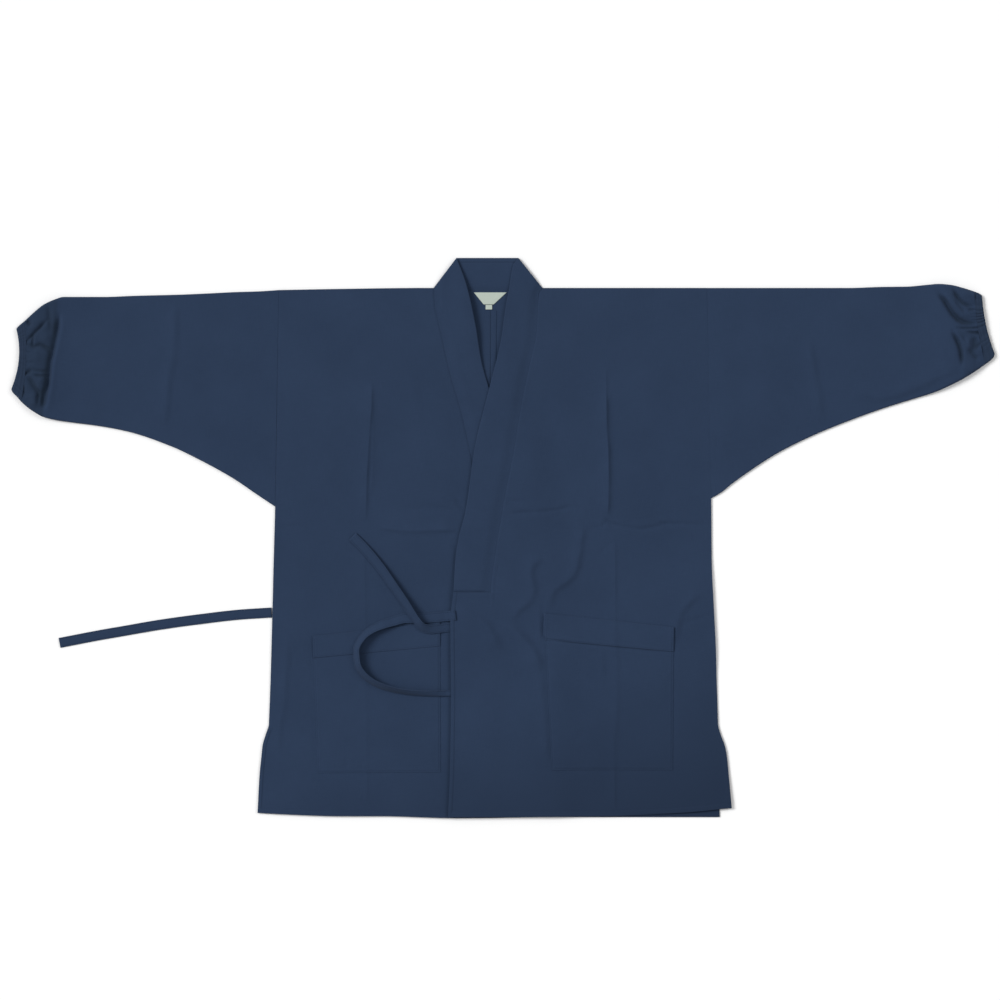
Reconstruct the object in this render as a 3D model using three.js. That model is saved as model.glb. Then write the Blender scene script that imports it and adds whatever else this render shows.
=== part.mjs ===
// A samue jacket laid flat, front up, with its sleeves spread.
// Left and right are the wearer's: the left side lies toward +X and its front is the upper one.
// "down" is measured from the shoulder line toward the hem, "out" from the centre line toward the
// side that is named, and "across" from the centre line toward +X. All lengths are millimetres.

import * as THREE from 'three';

// Driving dimensions

const CLOTH = 1.2; // one ply with its turned edges
const SEAM_GAP = 0.3; // between pieces that are sewn together, and between plies that lie on each other
const CUFF_GAP = 0.5; // between the gathered end of a sleeve and its casing
const COLLAR_THICKNESS = 2.2; // the doubled band
const COLLAR_RISE = 43.5; // from the shoulder line up to the fold of the back collar
const COLLAR_END = 441; // where the band stops on the front, below the shoulder line
const TIE_WIDTH = 14.5;
const TIE_THICKNESS = 1.2;
const LABEL_THICKNESS = 1;
const GATHERS = 14; // on the upper face of each cuff
const CLOTH_COLOUR = 0x2b3b54;
const CUFF_COLOUR = 0x27344a;
const LABEL_COLOUR = 0xa3ada3;
const ROUGHNESS = 0.85;

// Heights of the lower faces of what lies on the back

const ON_BACK = CLOTH + SEAM_GAP;

// How much cloth rises to pass over something, and between which distances from it the rise fades

const OVERLAP = { lift: 3.1, from: 20, to: 70 }; // the outer front, over the inner one and its band
const NECK = { lift: 1.2, from: 15, to: 60 }; // the front bands, over the back one
const HIDDEN_TIE = { lift: 1.6, from: 45, to: 95 }; // the outer front, over the tie that lies beneath it

const { lerp, clamp, smoothstep, degToRad } = THREE.MathUtils;

// Turns rows of numbers into records with named columns.
function table(columns, ...rows) {
  return rows.map((row) => Object.fromEntries(columns.map((name, k) => [name, row[k]])));
}

// Reads a column of a table at a value of another column, in straight lines between its rows.
function read(rows, key, value, column) {
  const next = rows.findIndex((row) => row[key] >= value);
  if (next === 0) return rows[0][column];
  if (next < 0) return rows[rows.length - 1][column];
  const before = rows[next - 1];
  const after = rows[next];
  return lerp(before[column], after[column], (value - before[key]) / (after[key] - before[key]));
}

// Edges of the fronts and their collar bands

const FREE_EDGE = {
  left: table(['down', 'out'],
    [-43.5, 36.5], [-33, 29], [4, 22.5], [32, 17.4], [72, 12], [104, 5], [146, -5.8], [228, -26],
    [323, -40], [365, -50.5], [396, -55], [441, -57.3]),
  right: table(['down', 'out'],
    [-43.5, 53], [-4, 38.4], [54, 25.4], [107, 16.7], [145, 5.8], [228, -26],
    [323, -40], [365, -50.5], [396, -55], [441, -57.3]),
};

const COLLAR_SEAM = {
  left: table(['down', 'out'],
    [0, 71.5], [8, 66], [64, 62.5], [110, 53], [146, 45.2], [187, 37.6], [236, 29.7], [299, 17.4],
    [336, 10.9], [390, 2.2], [441, -3.6], [767, -3.6]),
  right: table(['down', 'out'],
    [0, 86.3], [23, 84.8], [67, 75.4], [128, 61.6], [178, 47.1], [228, 35.5], [258, 29],
    [299, 18.1], [336, 10.9], [390, 2.2], [441, -3.6], [767, -3.6]),
};

const FRONT_EDGE = table(['down', 'out'],
  [441, -57.5], [483, -62], [592, -61], [696, -62.5], [767, -65.4]);

// The side runs down the armhole seam, then the side seam, and flares below the top of the slit.
const SIDE_EDGE = {
  left: table(['down', 'out'],
    [0, 310], [305, 316], [402, 317], [460, 319.7], [517, 322.6], [632, 326], [648, 330], [663, 335.7],
    [677, 338.6], [706, 341.5], [754, 345.8]),
  right: table(['down', 'out'],
    [0, 311], [317, 316], [402, 318.3], [460, 319.7], [517, 321.2], [632, 325], [648, 329.9],
    [663, 334.2], [677, 335.7], [706, 338.6], [761, 341.5]),
};

// Below the top of the slit the back keeps nearly straight, under the front.
const BACK_SIDE = {
  left: table(['down', 'out'], [0, 310], [305, 316], [402, 317], [460, 319.7], [632, 326], [767, 328.4]),
  right: table(['down', 'out'], [0, 311], [317, 316], [402, 318.3], [460, 319.7], [632, 325], [767, 336]),
};

const SHOULDER = {
  left: table(['out', 'down'], [0, 0], [320, 0]),
  right: table(['out', 'down'], [100, 0], [221, 1.4], [320, 3.2]),
};

const BACK_HEM = {
  left: table(['out', 'down'], [-4, 767], [329, 767]),
  right: table(['out', 'down'], [3, 767], [165, 765], [220, 764.5], [336, 761]),
};

const FRONT_HEM = {
  left: table(['out', 'down'],
    [-66, 767], [160, 766], [214, 763.6], [272, 760.6], [300, 758.4], [330, 755.2], [346, 754]),
  right: table(['out', 'down'],
    [-66, 767], [47, 768.5], [165, 765.6], [220, 765.6], [308, 762.7], [342, 761]),
};

const NECKLINE = table(['across', 'down'],
  [-83.4, 0], [-68, 1.8], [-48, 3.2], [-24, 4.1], [-3.6, 4.4], [16, 4], [36, 3.2], [56, 1.7], [71, 0]);
const CENTRE_SEAM = -3.6;

// Guides of the front grids. A line of rows crosses the pocket from its front to its side edge,
// and "cells" is the number of rows of cells down to the next line.
const ROW_GUIDES = {
  left: table(['name', 'front', 'side', 'cells'],
    ['shoulder', 0, 0, 11],
    ['aboveCrease', 303, 337, 1],
    ['crease', 311, 345, 1],
    ['belowCrease', 319, 353, 4],
    ['collarEnd', COLLAR_END, COLLAR_END, 2],
    ['pocketTop', 471.3, 491.6, 2],
    ['pocketHem', 509, 529, 1],
    ['belowHem', 510.5, 530.5, 7],
    ['pocketBottom', 699, 699, 3],
    ['hem', 767, 767, 0]),
  right: table(['name', 'front', 'side', 'cells'],
    ['shoulder', 0, 0, 11],
    ['aboveCrease', 348, 338, 1],
    ['crease', 356, 346, 1],
    ['belowCrease', 364, 354, 3],
    ['collarEnd', COLLAR_END, COLLAR_END, 2],
    ['pocketTop', 484.3, 504.6, 2],
    ['pocketHem', 519, 538, 1],
    ['belowHem', 520.5, 539.5, 7],
    ['pocketBottom', 702, 703, 3],
    ['hem', 767, 767, 0]),
};

const CREASE_HALF = 8; // from the top of a pressed crease to its foot

const CREASE_LINE = {
  left: table(['down', 'out'], [0, 163], [330, 165], [352, 178], [767, 179]),
  right: table(['down', 'out'], [0, 172], [330, 174.7], [352, 183.4], [767, 183.4]),
};

const POCKET_FRONT = {
  left: table(['down', 'out'], [0, 122], [471.3, 73.2], [699, 84.8], [767, 86]),
  right: table(['down', 'out'], [0, 125], [484.3, 77], [702, 76], [767, 76]),
};

const POCKET_SIDE = {
  left: table(['down', 'out'], [0, 245], [491.6, 261.7], [699, 260.3], [767, 262]),
  right: table(['down', 'out'], [0, 245], [504.6, 261.7], [703, 254.5], [767, 254.5]),
};

// Folds, each a ridge over a straight stretch that fades past its width to either side

const FOLD_COLUMNS = ['fromOut', 'fromDown', 'toOut', 'toDown', 'height', 'width'];

const FRONT_FOLDS = {
  left: table(FOLD_COLUMNS,
    [164, 118, 165, 330, 1.6, 4], [178, 352, 179, 760, 1.3, 4],
    [20, 311, 73, 311, 1, 4], [73, 311, 262, 345, 1.3, 4], [262, 345, 308, 345, 1, 4],
    [166, 335, 131, 356, 2.4, 10], [131, 356, 121, 411, 2.4, 11], [121, 411, 87, 438, 2, 11],
    [80, 381, 56, 411, 1.6, 10], [56, 411, 44, 462, 2, 10], [44, 462, 27, 480, 1.4, 10],
    [28, 491, 73, 552, 2.4, 11], [73, 552, 80, 606, 2, 11], [80, 606, 86, 681, 1.6, 11],
    [298, 446, 272, 471, 1.4, 9], [272, 471, 262, 516, 1.4, 9]),
  right: table(FOLD_COLUMNS,
    [174, 138, 174.7, 330, 1.6, 4], [183.4, 352, 183.4, 700, 1.3, 4],
    [300, 345, 262, 346, 1, 4], [262, 346, 75, 356, 1.3, 4],
    [301, 510, 301, 655, 1.4, 10]),
};

const SLEEVE_FOLDS = {
  left: table(FOLD_COLUMNS,
    [455, 77, 479, 200, 1.2, 4], [527, 147, 560, 161, 1.4, 9], [560, 161, 617, 142, 1.6, 9],
    [617, 142, 679, 115, 1.4, 9], [644, 3, 663, 33, 2.6, 7], [663, 33, 681, 53, 2.8, 7],
    [681, 53, 708, 44, 2.4, 7], [670, 3, 690, 26, 2.2, 6], [652, 60, 712, 60, 2.4, 6],
    [665, 66, 675, 88, 2, 7], [675, 88, 680, 114, 2, 7]),
  right: table(FOLD_COLUMNS,
    [460, 20, 461, 90, 1.2, 4], [461, 90, 478, 200, 1.2, 4], [628, 28, 640, 88, 2.8, 8],
    [640, 88, 655, 178, 2.8, 8], [648, 36, 681, 84, 2.8, 6], [650, 86, 683, 86, 2, 5],
    [655, 126, 683, 126, 2.2, 5], [675, 131, 652, 170, 2.4, 6]),
};

// Sections of the sleeves, from the armhole to the casing, each between a point of the upper
// edge and a point of the lower one. "height" is the upper face over the floor, and "bow" is how
// far the middle of the section curves back toward the body.
const SECTION_COLUMNS = ['topOut', 'topDown', 'lowOut', 'lowDown', 'height', 'bow'];

const SLEEVE_SECTIONS = {
  left: table(SECTION_COLUMNS,
    [310, 0, 316, 305, 2.7, 0], [328, 0, 330, 297, 2.9, 0], [344, 0, 346, 284, 3, 0],
    [372, 0, 374, 264, 3.2, 0], [410, 0, 413, 239, 3.3, 0], [444, 0, 470, 211, 3.3, 0],
    [452, 0, 478, 208, 3.3, 0], [460, 0, 486, 205, 3.3, 0],
    [515, 0, 525, 189, 3.4, 0], [562, -1.5, 570, 173, 3.6, 0], [600, -2, 612, 160, 4, 0],
    [628, -4.4, 642, 150.5, 5, 0], [646, -5.8, 660, 142.5, 6, 0], [663, -4.4, 680, 132.5, 5.4, 1],
    [681, 0, 698, 121.5, 5, 2], [697, 5, 713, 111, 5, 3]),
  right: table(SECTION_COLUMNS,
    [311, 3, 316, 317, 2.7, 0], [340, 4.9, 343, 299, 3, 0], [375, 6, 377, 276, 3.2, 0],
    [415, 8, 420, 252, 3.3, 0], [452, 9.6, 468, 229, 3.3, 0], [460, 9.8, 476, 226, 3.3, 0],
    [468, 10, 484, 223, 3.3, 0],
    [520, 11.4, 530, 208, 3.4, 0], [565, 13, 575, 199.5, 3.6, 0], [600, 13, 610, 195, 4, 0],
    [622, 13, 634, 191.5, 5.2, 0], [636, 17, 652, 187, 6.2, 0], [651, 24, 665, 180, 4.6, 1],
    [666, 36, 675, 173, 4.8, 3], [679, 48, 684, 165, 5, 5]),
};

const CASING_SECTIONS = {
  left: table(SECTION_COLUMNS,
    [697, 5, 713, 111, 5, 3], [702, 7, 720, 106, 5.8, 3.4], [706, 9, 726, 99.5, 5.4, 3.6],
    [708.5, 11, 727, 96, 4, 3.6]),
  right: table(SECTION_COLUMNS,
    [679, 48, 684, 165, 5, 5], [684, 52, 690, 158, 5.8, 6], [689, 56.5, 697, 150.5, 5.4, 7],
    [691, 59, 698.4, 147, 4, 7.4]),
};

const UPPER_SLOTS = 18; // points over a sleeve
const UNDER_SLOTS = 7; // points under it
const EDGE_WALL = 1.6; // from a sleeve's folded edge to the hollow inside it
const OUTER_SHOULDER = 2.5; // from that edge to the first points of the outer faces
const INNER_SHOULDER = 4; // and of the inner faces
const EDGE_FADE = 0.08; // share of a section over which folds sink toward its edges
const INNER_CEILING = 5; // the upper wall is solid above this height, in the gathers
const RUFFLE = 1.3; // height of a gather

// Routes of the ties. "rest" is the height of the strip's lowest edge, and "lean" tips it on that
// edge, in degrees: its left edge rises, seen along the route.
const ROUTE_COLUMNS = ['across', 'down', 'rest', 'lean'];

const TIES = {
  tie_front_outer: table(ROUTE_COLUMNS,
    [-51, 474, 6.2, 0], [-58.7, 474.9, 6.2, 0], [-70, 476, 6.1, 0], [-80, 477, 5.9, 0], [-98, 478.5, 5.9, 0],
    [-125, 478.5, 6, 4], [-146, 483.6, 6.4, 12], [-169, 491.6, 7.1, 24], [-188, 505, 7.1, 36],
    [-198, 525, 7, 44], [-196, 545, 6.6, 46], [-186, 561, 6, 46], [-169, 573, 5.6, 44],
    [-134, 585, 4.8, 42], [-112, 588.7, 4.8, 38], [-88, 589.4, 4.8, 24], [-77, 589.4, 4.7, 8],
    [-70, 589.4, 3.8, 2], [-64, 589.4, 3.05, 0], [-40, 589.4, 3.05, 0]),
  tie_front_inner: table(ROUTE_COLUMNS,
    [56, 478, 3.05, 0], [10, 484, 3.05, 0], [-33, 490, 3.05, 0], [-64, 493.6, 3.05, 0], [-70, 494.4, 4.1, 0],
    [-77, 495.2, 5.9, -2], [-90, 496, 6.6, -14], [-101, 492.5, 7.6, -28], [-109, 483.5, 7.8, -34],
    [-117, 472, 7.8, -30], [-128, 455, 6.6, -24], [-140, 438, 5.4, -18], [-165, 403, 4.8, -10],
    [-188, 376, 5, -6], [-204, 360, 5, 0]),
  tie_side_outer: table(ROUTE_COLUMNS,
    [-321, 470.5, 0, 0], [-366, 473.4, 0, 0], [-424, 480, 0, 0], [-482, 488, 0, 0], [-540, 498, 0, 0],
    [-569, 503, 0, 0], [-604, 509.7, 0, 0], [-628.6, 514.5, 0, 0]),
  tie_side_inner: table(ROUTE_COLUMNS,
    [317, 475.6, ON_BACK, 0], [281, 483, ON_BACK, 0], [243, 499, ON_BACK, 0], [199, 525, ON_BACK, 0],
    [156, 557, ON_BACK, 0], [122, 590, ON_BACK, 0], [104, 626, ON_BACK, 0], [97, 668, ON_BACK, 0]),
};

const TIE_STEP = 11; // between sections of a tie
const TIE_SIDES = 4;

// Corners of the label, which narrows downward, and of the tab under it

const PATCH_COLUMNS = ['down', 'from', 'to'];
const LABEL = table(PATCH_COLUMNS, [6.5, -28, 19.5], [23.9, -13.8, 0.7]);
const TAB = table(PATCH_COLUMNS, [24.5, -10.9, -1.5], [31.2, -10.9, -1.5]);

// Shells

// Collects the corners and faces of one closed wall.
class Shell {
  constructor(mirrored = false) {
    this.mirrored = mirrored;
    this.corners = [];
    this.faces = [];
    this.known = new Map();
  }

  corner(key, x, y, z) {
    if (!this.known.has(key)) {
      this.known.set(key, this.corners.length / 3);
      this.corners.push(x, y, z);
    }
    return this.known.get(key);
  }

  quad(a, b, c, d) {
    if (this.mirrored) this.faces.push(a, c, b, a, d, c);
    else this.faces.push(a, b, c, a, c, d);
  }

  mesh(name, colour = CLOTH_COLOUR) {
    const geometry = new THREE.BufferGeometry();
    geometry.setAttribute('position', new THREE.Float32BufferAttribute(this.corners, 3));
    geometry.setIndex(this.faces);
    geometry.computeVertexNormals();
    const material = new THREE.MeshStandardMaterial({ color: colour, roughness: ROUGHNESS, metalness: 0 });
    const mesh = new THREE.Mesh(geometry, material);
    mesh.name = name;
    return mesh;
  }
}

// A wall over a grid of points, each with an upper and a lower height. Cells that `has` leaves out
// stay open, and the rim of the others is closed.
function clothWall(name, { rows, columns, point, has = () => true, mirrored = false, colour }) {
  const shell = new Shell(mirrored);
  const upper = (i, j) => {
    const p = point(i, j);
    return shell.corner(`u${i},${j}`, p.x, p.y, p.upper);
  };
  const lower = (i, j) => {
    const p = point(i, j);
    return shell.corner(`l${i},${j}`, p.x, p.y, p.lower);
  };
  const present = (i, j) => i >= 0 && j >= 0 && i < rows && j < columns && has(i, j);
  const rim = (i0, j0, i1, j1) => shell.quad(lower(i0, j0), lower(i1, j1), upper(i1, j1), upper(i0, j0));
  for (let i = 0; i < rows; i++) {
    for (let j = 0; j < columns; j++) {
      if (!present(i, j)) continue;
      shell.quad(upper(i, j), upper(i + 1, j), upper(i + 1, j + 1), upper(i, j + 1));
      shell.quad(lower(i, j), lower(i, j + 1), lower(i + 1, j + 1), lower(i + 1, j));
      if (!present(i, j - 1)) rim(i, j, i + 1, j);
      if (!present(i + 1, j)) rim(i + 1, j, i + 1, j + 1);
      if (!present(i, j + 1)) rim(i + 1, j + 1, i, j + 1);
      if (!present(i - 1, j)) rim(i, j + 1, i, j);
    }
  }
  return shell.mesh(name, colour);
}

// A wall through rings: each station has an outer and an inner ring of the same number of points.
function tubeWall(name, { stations, around, outer, inner, mirrored, colour }) {
  const shell = new Shell(mirrored);
  const corner = (ring, tag, k, m) => {
    const p = ring(k, m % around);
    return shell.corner(`${tag}${k},${m % around}`, p.x, p.y, p.z);
  };
  for (let m = 0; m < around; m++) {
    for (let k = 0; k < stations - 1; k++) {
      shell.quad(corner(outer, 'o', k, m), corner(outer, 'o', k, m + 1),
        corner(outer, 'o', k + 1, m + 1), corner(outer, 'o', k + 1, m));
      shell.quad(corner(inner, 'i', k, m), corner(inner, 'i', k + 1, m),
        corner(inner, 'i', k + 1, m + 1), corner(inner, 'i', k, m + 1));
    }
    const last = stations - 1;
    shell.quad(corner(outer, 'o', 0, m), corner(inner, 'i', 0, m),
      corner(inner, 'i', 0, m + 1), corner(outer, 'o', 0, m + 1));
    shell.quad(corner(outer, 'o', last, m), corner(outer, 'o', last, m + 1),
      corner(inner, 'i', last, m + 1), corner(inner, 'i', last, m));
  }
  return shell.mesh(name, colour);
}

// Heights of the fronts and their bands

function distanceToSegment(x, y, x0, y0, x1, y1) {
  const along = (x - x0) * (x1 - x0) + (y - y0) * (y1 - y0);
  const share = clamp(along / ((x1 - x0) ** 2 + (y1 - y0) ** 2), 0, 1);
  return Math.hypot(x - lerp(x0, x1, share), y - lerp(y0, y1, share));
}

// How much cloth rises at a distance from what it passes over
function rise({ lift, from, to }, distance) {
  return lift * (1 - smoothstep(distance, from, to));
}

function foldHeight(folds, out, down) {
  return folds.reduce((sum, fold) => {
    const aside = distanceToSegment(out, down, fold.fromOut, fold.fromDown, fold.toOut, fold.toDown);
    return sum + fold.height * Math.exp(-((aside / fold.width) ** 2));
  }, 0);
}

// The edge of the inner front and its band, toward +X, which the outer front passes over
function innerBoundary(down) {
  if (down > COLLAR_END) return -read(FRONT_EDGE, 'down', down, 'out');
  return -read(FREE_EDGE.right, 'down', down, 'out');
}

function distanceToHiddenTie(across, down) {
  const route = TIES.tie_side_inner;
  const distances = route.slice(1).map((point, k) => distanceToSegment(
    across, down, route[k].across, route[k].down, point.across, point.down));
  return Math.min(...distances);
}

// Lower face of a front or of its band
function frontRest(side, out, down) {
  if (side === 'right') return ON_BACK;
  const overInner = rise(OVERLAP, out - innerBoundary(down));
  return ON_BACK + overInner + rise(HIDDEN_TIE, distanceToHiddenTie(out, down));
}

const sign = (side) => (side === 'left' ? 1 : -1);

// Fronts

// Expands guides into one entry for each grid line: the guide before it and its share of the way on.
function gridLines(guides) {
  return guides.flatMap((guide, g) => (guide.cells === 0
    ? [{ guide: g - 1, share: 1 }]
    : Array.from({ length: guide.cells }, (_, step) => ({ guide: g, share: step / guide.cells }))));
}

function firstLine(guides, name) {
  const g = guides.findIndex((guide) => guide.name === name);
  return guides.slice(0, g).reduce((sum, guide) => sum + guide.cells, 0);
}

function columnGuides(side) {
  const crease = (down) => read(CREASE_LINE[side], 'down', down, 'out');
  return [
    { name: 'frontEdge', out: (down) => read(FRONT_EDGE, 'down', down, 'out'), cells: 2 },
    { name: 'seam', out: (down) => read(COLLAR_SEAM[side], 'down', down, 'out'), cells: 3 },
    { name: 'pocketFront', out: (down) => read(POCKET_FRONT[side], 'down', down, 'out'), cells: 3 },
    { name: 'creaseFront', out: (down) => crease(down) - CREASE_HALF, cells: 1 },
    { name: 'crease', out: crease, cells: 1 },
    { name: 'creaseSide', out: (down) => crease(down) + CREASE_HALF, cells: 3 },
    { name: 'pocketSide', out: (down) => read(POCKET_SIDE[side], 'down', down, 'out'), cells: 2 },
    { name: 'side', out: (down) => read(SIDE_EDGE[side], 'down', down, 'out'), cells: 0 },
  ];
}

// The points of one front: a grid whose lines run along its seams, its pocket and its creases.
function frontGrid(side) {
  const rowGuides = ROW_GUIDES[side];
  const guides = columnGuides(side);
  const rowLines = gridLines(rowGuides);
  const columnLines = gridLines(guides);

  const guideDown = (guide, out, down) => {
    if (guide.name === 'shoulder') return read(SHOULDER[side], 'out', out, 'down');
    if (guide.name === 'hem') return read(FRONT_HEM[side], 'out', out, 'down');
    const from = read(POCKET_FRONT[side], 'down', down, 'out');
    const to = read(POCKET_SIDE[side], 'down', down, 'out');
    return lerp(guide.front, guide.side, clamp((out - from) / (to - from), 0, 1));
  };
  const rowDown = (i, out, down) => {
    const { guide, share } = rowLines[i];
    return lerp(guideDown(rowGuides[guide], out, down), guideDown(rowGuides[guide + 1], out, down), share);
  };
  const columnOut = (j, down) => {
    const { guide, share } = columnLines[j];
    return lerp(guides[guide].out(down), guides[guide + 1].out(down), share);
  };

  const plan = (i, j) => {
    const { guide, share } = rowLines[i];
    let down = lerp(rowGuides[guide].front, rowGuides[guide + 1].front, share);
    let out = columnOut(j, down);
    for (let pass = 0; pass < 3; pass++) {
      down = rowDown(i, out, down);
      out = columnOut(j, down);
    }
    return { out, down };
  };

  return {
    rows: rowLines.length - 1,
    columns: columnLines.length - 1,
    seamColumn: firstLine(guides, 'seam'),
    collarEndRow: firstLine(rowGuides, 'collarEnd'),
    pocket: {
      top: firstLine(rowGuides, 'pocketTop'),
      hem: firstLine(rowGuides, 'pocketHem'),
      bottom: firstLine(rowGuides, 'pocketBottom'),
      front: firstLine(guides, 'pocketFront'),
      side: firstLine(guides, 'pocketSide'),
    },
    plan,
  };
}

function front(side, grid) {
  const point = (i, j) => {
    const { out, down } = grid.plan(i, j);
    const atSeam = j === grid.seamColumn && i < grid.collarEndRow;
    const atCollarEnd = i === grid.collarEndRow && j <= grid.seamColumn;
    const lower = frontRest(side, out, down) + foldHeight(FRONT_FOLDS[side], out, down);
    return {
      x: sign(side) * (out + (atSeam ? SEAM_GAP : 0)),
      y: -down - (atCollarEnd ? SEAM_GAP : 0),
      lower,
      upper: lower + CLOTH,
    };
  };
  const mesh = clothWall(`front_${side}`, {
    rows: grid.rows,
    columns: grid.columns,
    point,
    has: (i, j) => j >= grid.seamColumn || i >= grid.collarEndRow,
    mirrored: side === 'right',
  });
  return { mesh, point };
}

// A pocket lies on its front's own points, moved out, and its upper hem is turned in, two plies thick.
function pocket(side, grid, frontPoint) {
  const { top, hem, bottom, front: first, side: last } = grid.pocket;
  return clothWall(`pocket_${side}`, {
    rows: bottom - top,
    columns: last - first,
    point: (i, j) => {
      const under = frontPoint(top + i, first + j);
      const lower = under.upper + SEAM_GAP;
      const plies = top + i <= hem ? 2 : 1;
      return { x: under.x, y: under.y, lower, upper: lower + plies * CLOTH };
    },
    mirrored: side === 'right',
  });
}

// A front band of the collar, from its slanted fold at the shoulder to its end on the front.
// Its seam edge follows the front's own points.
const BAND_COLUMNS = 3;
const BAND_LAG = table(['down', 'lag'], [0, COLLAR_RISE], [60, 13], [300, 10], [COLLAR_END, 0]);

function collarBand(side, grid) {
  return clothWall(`collar_${side}`, {
    rows: grid.collarEndRow,
    columns: BAND_COLUMNS,
    point: (i, j) => {
      const seam = grid.plan(i, grid.seamColumn);
      const freeDown = seam.down - read(BAND_LAG, 'down', seam.down, 'lag');
      const share = j / BAND_COLUMNS;
      const out = lerp(read(FREE_EDGE[side], 'down', freeDown, 'out'), seam.out, share);
      const down = lerp(freeDown, seam.down, share);
      const lower = frontRest(side, out, down) + rise(NECK, down);
      return { x: sign(side) * out, y: -down, lower, upper: lower + COLLAR_THICKNESS };
    },
    mirrored: side === 'right',
  });
}

// Back and back collar

const BACK_ROWS = 12;
const SHOULDER_COLUMNS = 3; // from the neck to the side

// The columns of a back half: the points of the neckline from the centre seam, then the shoulder.
function backColumns(side) {
  const neck = NECKLINE
    .filter((row) => sign(side) * (row.across - CENTRE_SEAM) > 0)
    .map((row) => ({ out: sign(side) * row.across, down: row.down }))
    .sort((a, b) => a.out - b.out);
  const middle = read(NECKLINE, 'across', CENTRE_SEAM, 'down');
  return [{ out: sign(side) * CENTRE_SEAM + SEAM_GAP / 2, down: middle }, ...neck];
}

function back(side) {
  const neck = backColumns(side);
  const neckEnd = neck[neck.length - 1].out;
  return clothWall(`back_${side}`, {
    rows: BACK_ROWS,
    columns: neck.length - 1 + SHOULDER_COLUMNS,
    point: (i, j) => {
      const nominal = (BACK_HEM[side][0].down * i) / BACK_ROWS;
      const sideOut = read(BACK_SIDE[side], 'down', nominal, 'out');
      const out = j < neck.length
        ? neck[j].out
        : lerp(neckEnd, sideOut, (j - neck.length + 1) / SHOULDER_COLUMNS);
      const top = j < neck.length ? neck[j].down : read(SHOULDER[side], 'out', out, 'down');
      const down = lerp(top + SEAM_GAP, read(BACK_HEM[side], 'out', out, 'down'), i / BACK_ROWS);
      return { x: sign(side) * out, y: -down, lower: 0, upper: CLOTH };
    },
    mirrored: side === 'right',
  });
}

// The back band lies above the neckline, and narrows to its fold.
function collarBack() {
  const foldLeft = FREE_EDGE.left[0].out;
  const foldRight = -FREE_EDGE.right[0].out;
  const first = NECKLINE[0].across;
  const width = NECKLINE[NECKLINE.length - 1].across - first;
  return clothWall('collar_back', {
    rows: 2,
    columns: NECKLINE.length - 1,
    point: (i, j) => {
      const seam = NECKLINE[j];
      const fold = lerp(foldRight, foldLeft, (seam.across - first) / width);
      return {
        x: lerp(fold, seam.across, i / 2),
        y: -lerp(-COLLAR_RISE, seam.down, i / 2),
        lower: 0,
        upper: COLLAR_THICKNESS,
      };
    },
  });
}

// Sleeves and cuffs

// Slots go round a flattened tube: the upper edge, over the cloth, the lower edge and back beneath.
function ringSlots(over, under) {
  const upper = Array.from({ length: over }, (_, k) => ({ face: 'upper', share: k / (over - 1) }));
  const lower = Array.from({ length: under }, (_, k) => ({ face: 'under', share: 1 - k / (under - 1) }));
  return [{ face: 'fold' }, ...upper, { face: 'seam' }, ...lower];
}

// A point of a ring in plan, and how far it is along its section.
function ringPlan(section, slot, isInner) {
  const length = Math.hypot(section.lowOut - section.topOut, section.lowDown - section.topDown);
  const edge = isInner ? EDGE_WALL : 0;
  const shoulder = isInner ? INNER_SHOULDER : OUTER_SHOULDER;
  let along = shoulder + slot.share * (length - 2 * shoulder);
  if (slot.face === 'fold') along = edge;
  if (slot.face === 'seam') along = length - edge;
  const share = along / length;
  const bow = section.bow * 4 * share * (1 - share);
  return {
    out: lerp(section.topOut, section.lowOut, share) - bow,
    down: lerp(section.topDown, section.lowDown, share),
    share,
  };
}

// A sleeve or a casing. Its first section is moved out by the gap to what it is sewn to.
function flatTube(name, { side, sections, slots, relief, gap, colour }) {
  const ring = (isInner) => (k, m) => {
    const section = sections[k];
    const slot = slots[m];
    const { out, down, share } = ringPlan(section, slot, isInner);
    const upper = section.height + relief(out, down, share, k);
    let z = section.height / 2;
    if (slot.face === 'under') z = isInner ? CLOTH : 0;
    if (slot.face === 'upper') z = isInner ? Math.min(upper - CLOTH, INNER_CEILING) : upper;
    return { x: sign(side) * (out + (k === 0 ? gap : 0)), y: -down, z };
  };
  return tubeWall(name, {
    stations: sections.length,
    around: slots.length,
    outer: ring(false),
    inner: ring(true),
    mirrored: side === 'right',
    colour,
  });
}

// Folds fade toward the edges of a sleeve and vanish at its armhole.
function sleeve(side) {
  const relief = (out, down, share, k) => {
    if (k === 0) return 0;
    const fromEdge = Math.min(share, 1 - share);
    return foldHeight(SLEEVE_FOLDS[side], out, down) * smoothstep(fromEdge, 0, EDGE_FADE);
  };
  return flatTube(`sleeve_${side}`, {
    side,
    sections: SLEEVE_SECTIONS[side],
    slots: ringSlots(UPPER_SLOTS, UNDER_SLOTS),
    relief,
    gap: SEAM_GAP,
    colour: CLOTH_COLOUR,
  });
}

function cuff(side) {
  return flatTube(`cuff_${side}`, {
    side,
    sections: CASING_SECTIONS[side],
    slots: ringSlots(2 * GATHERS + 1, UNDER_SLOTS),
    relief: (out, down, share) => RUFFLE * Math.sin(Math.PI * GATHERS * share) ** 2,
    gap: CUFF_GAP,
    colour: CUFF_COLOUR,
  });
}

// Ties

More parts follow.
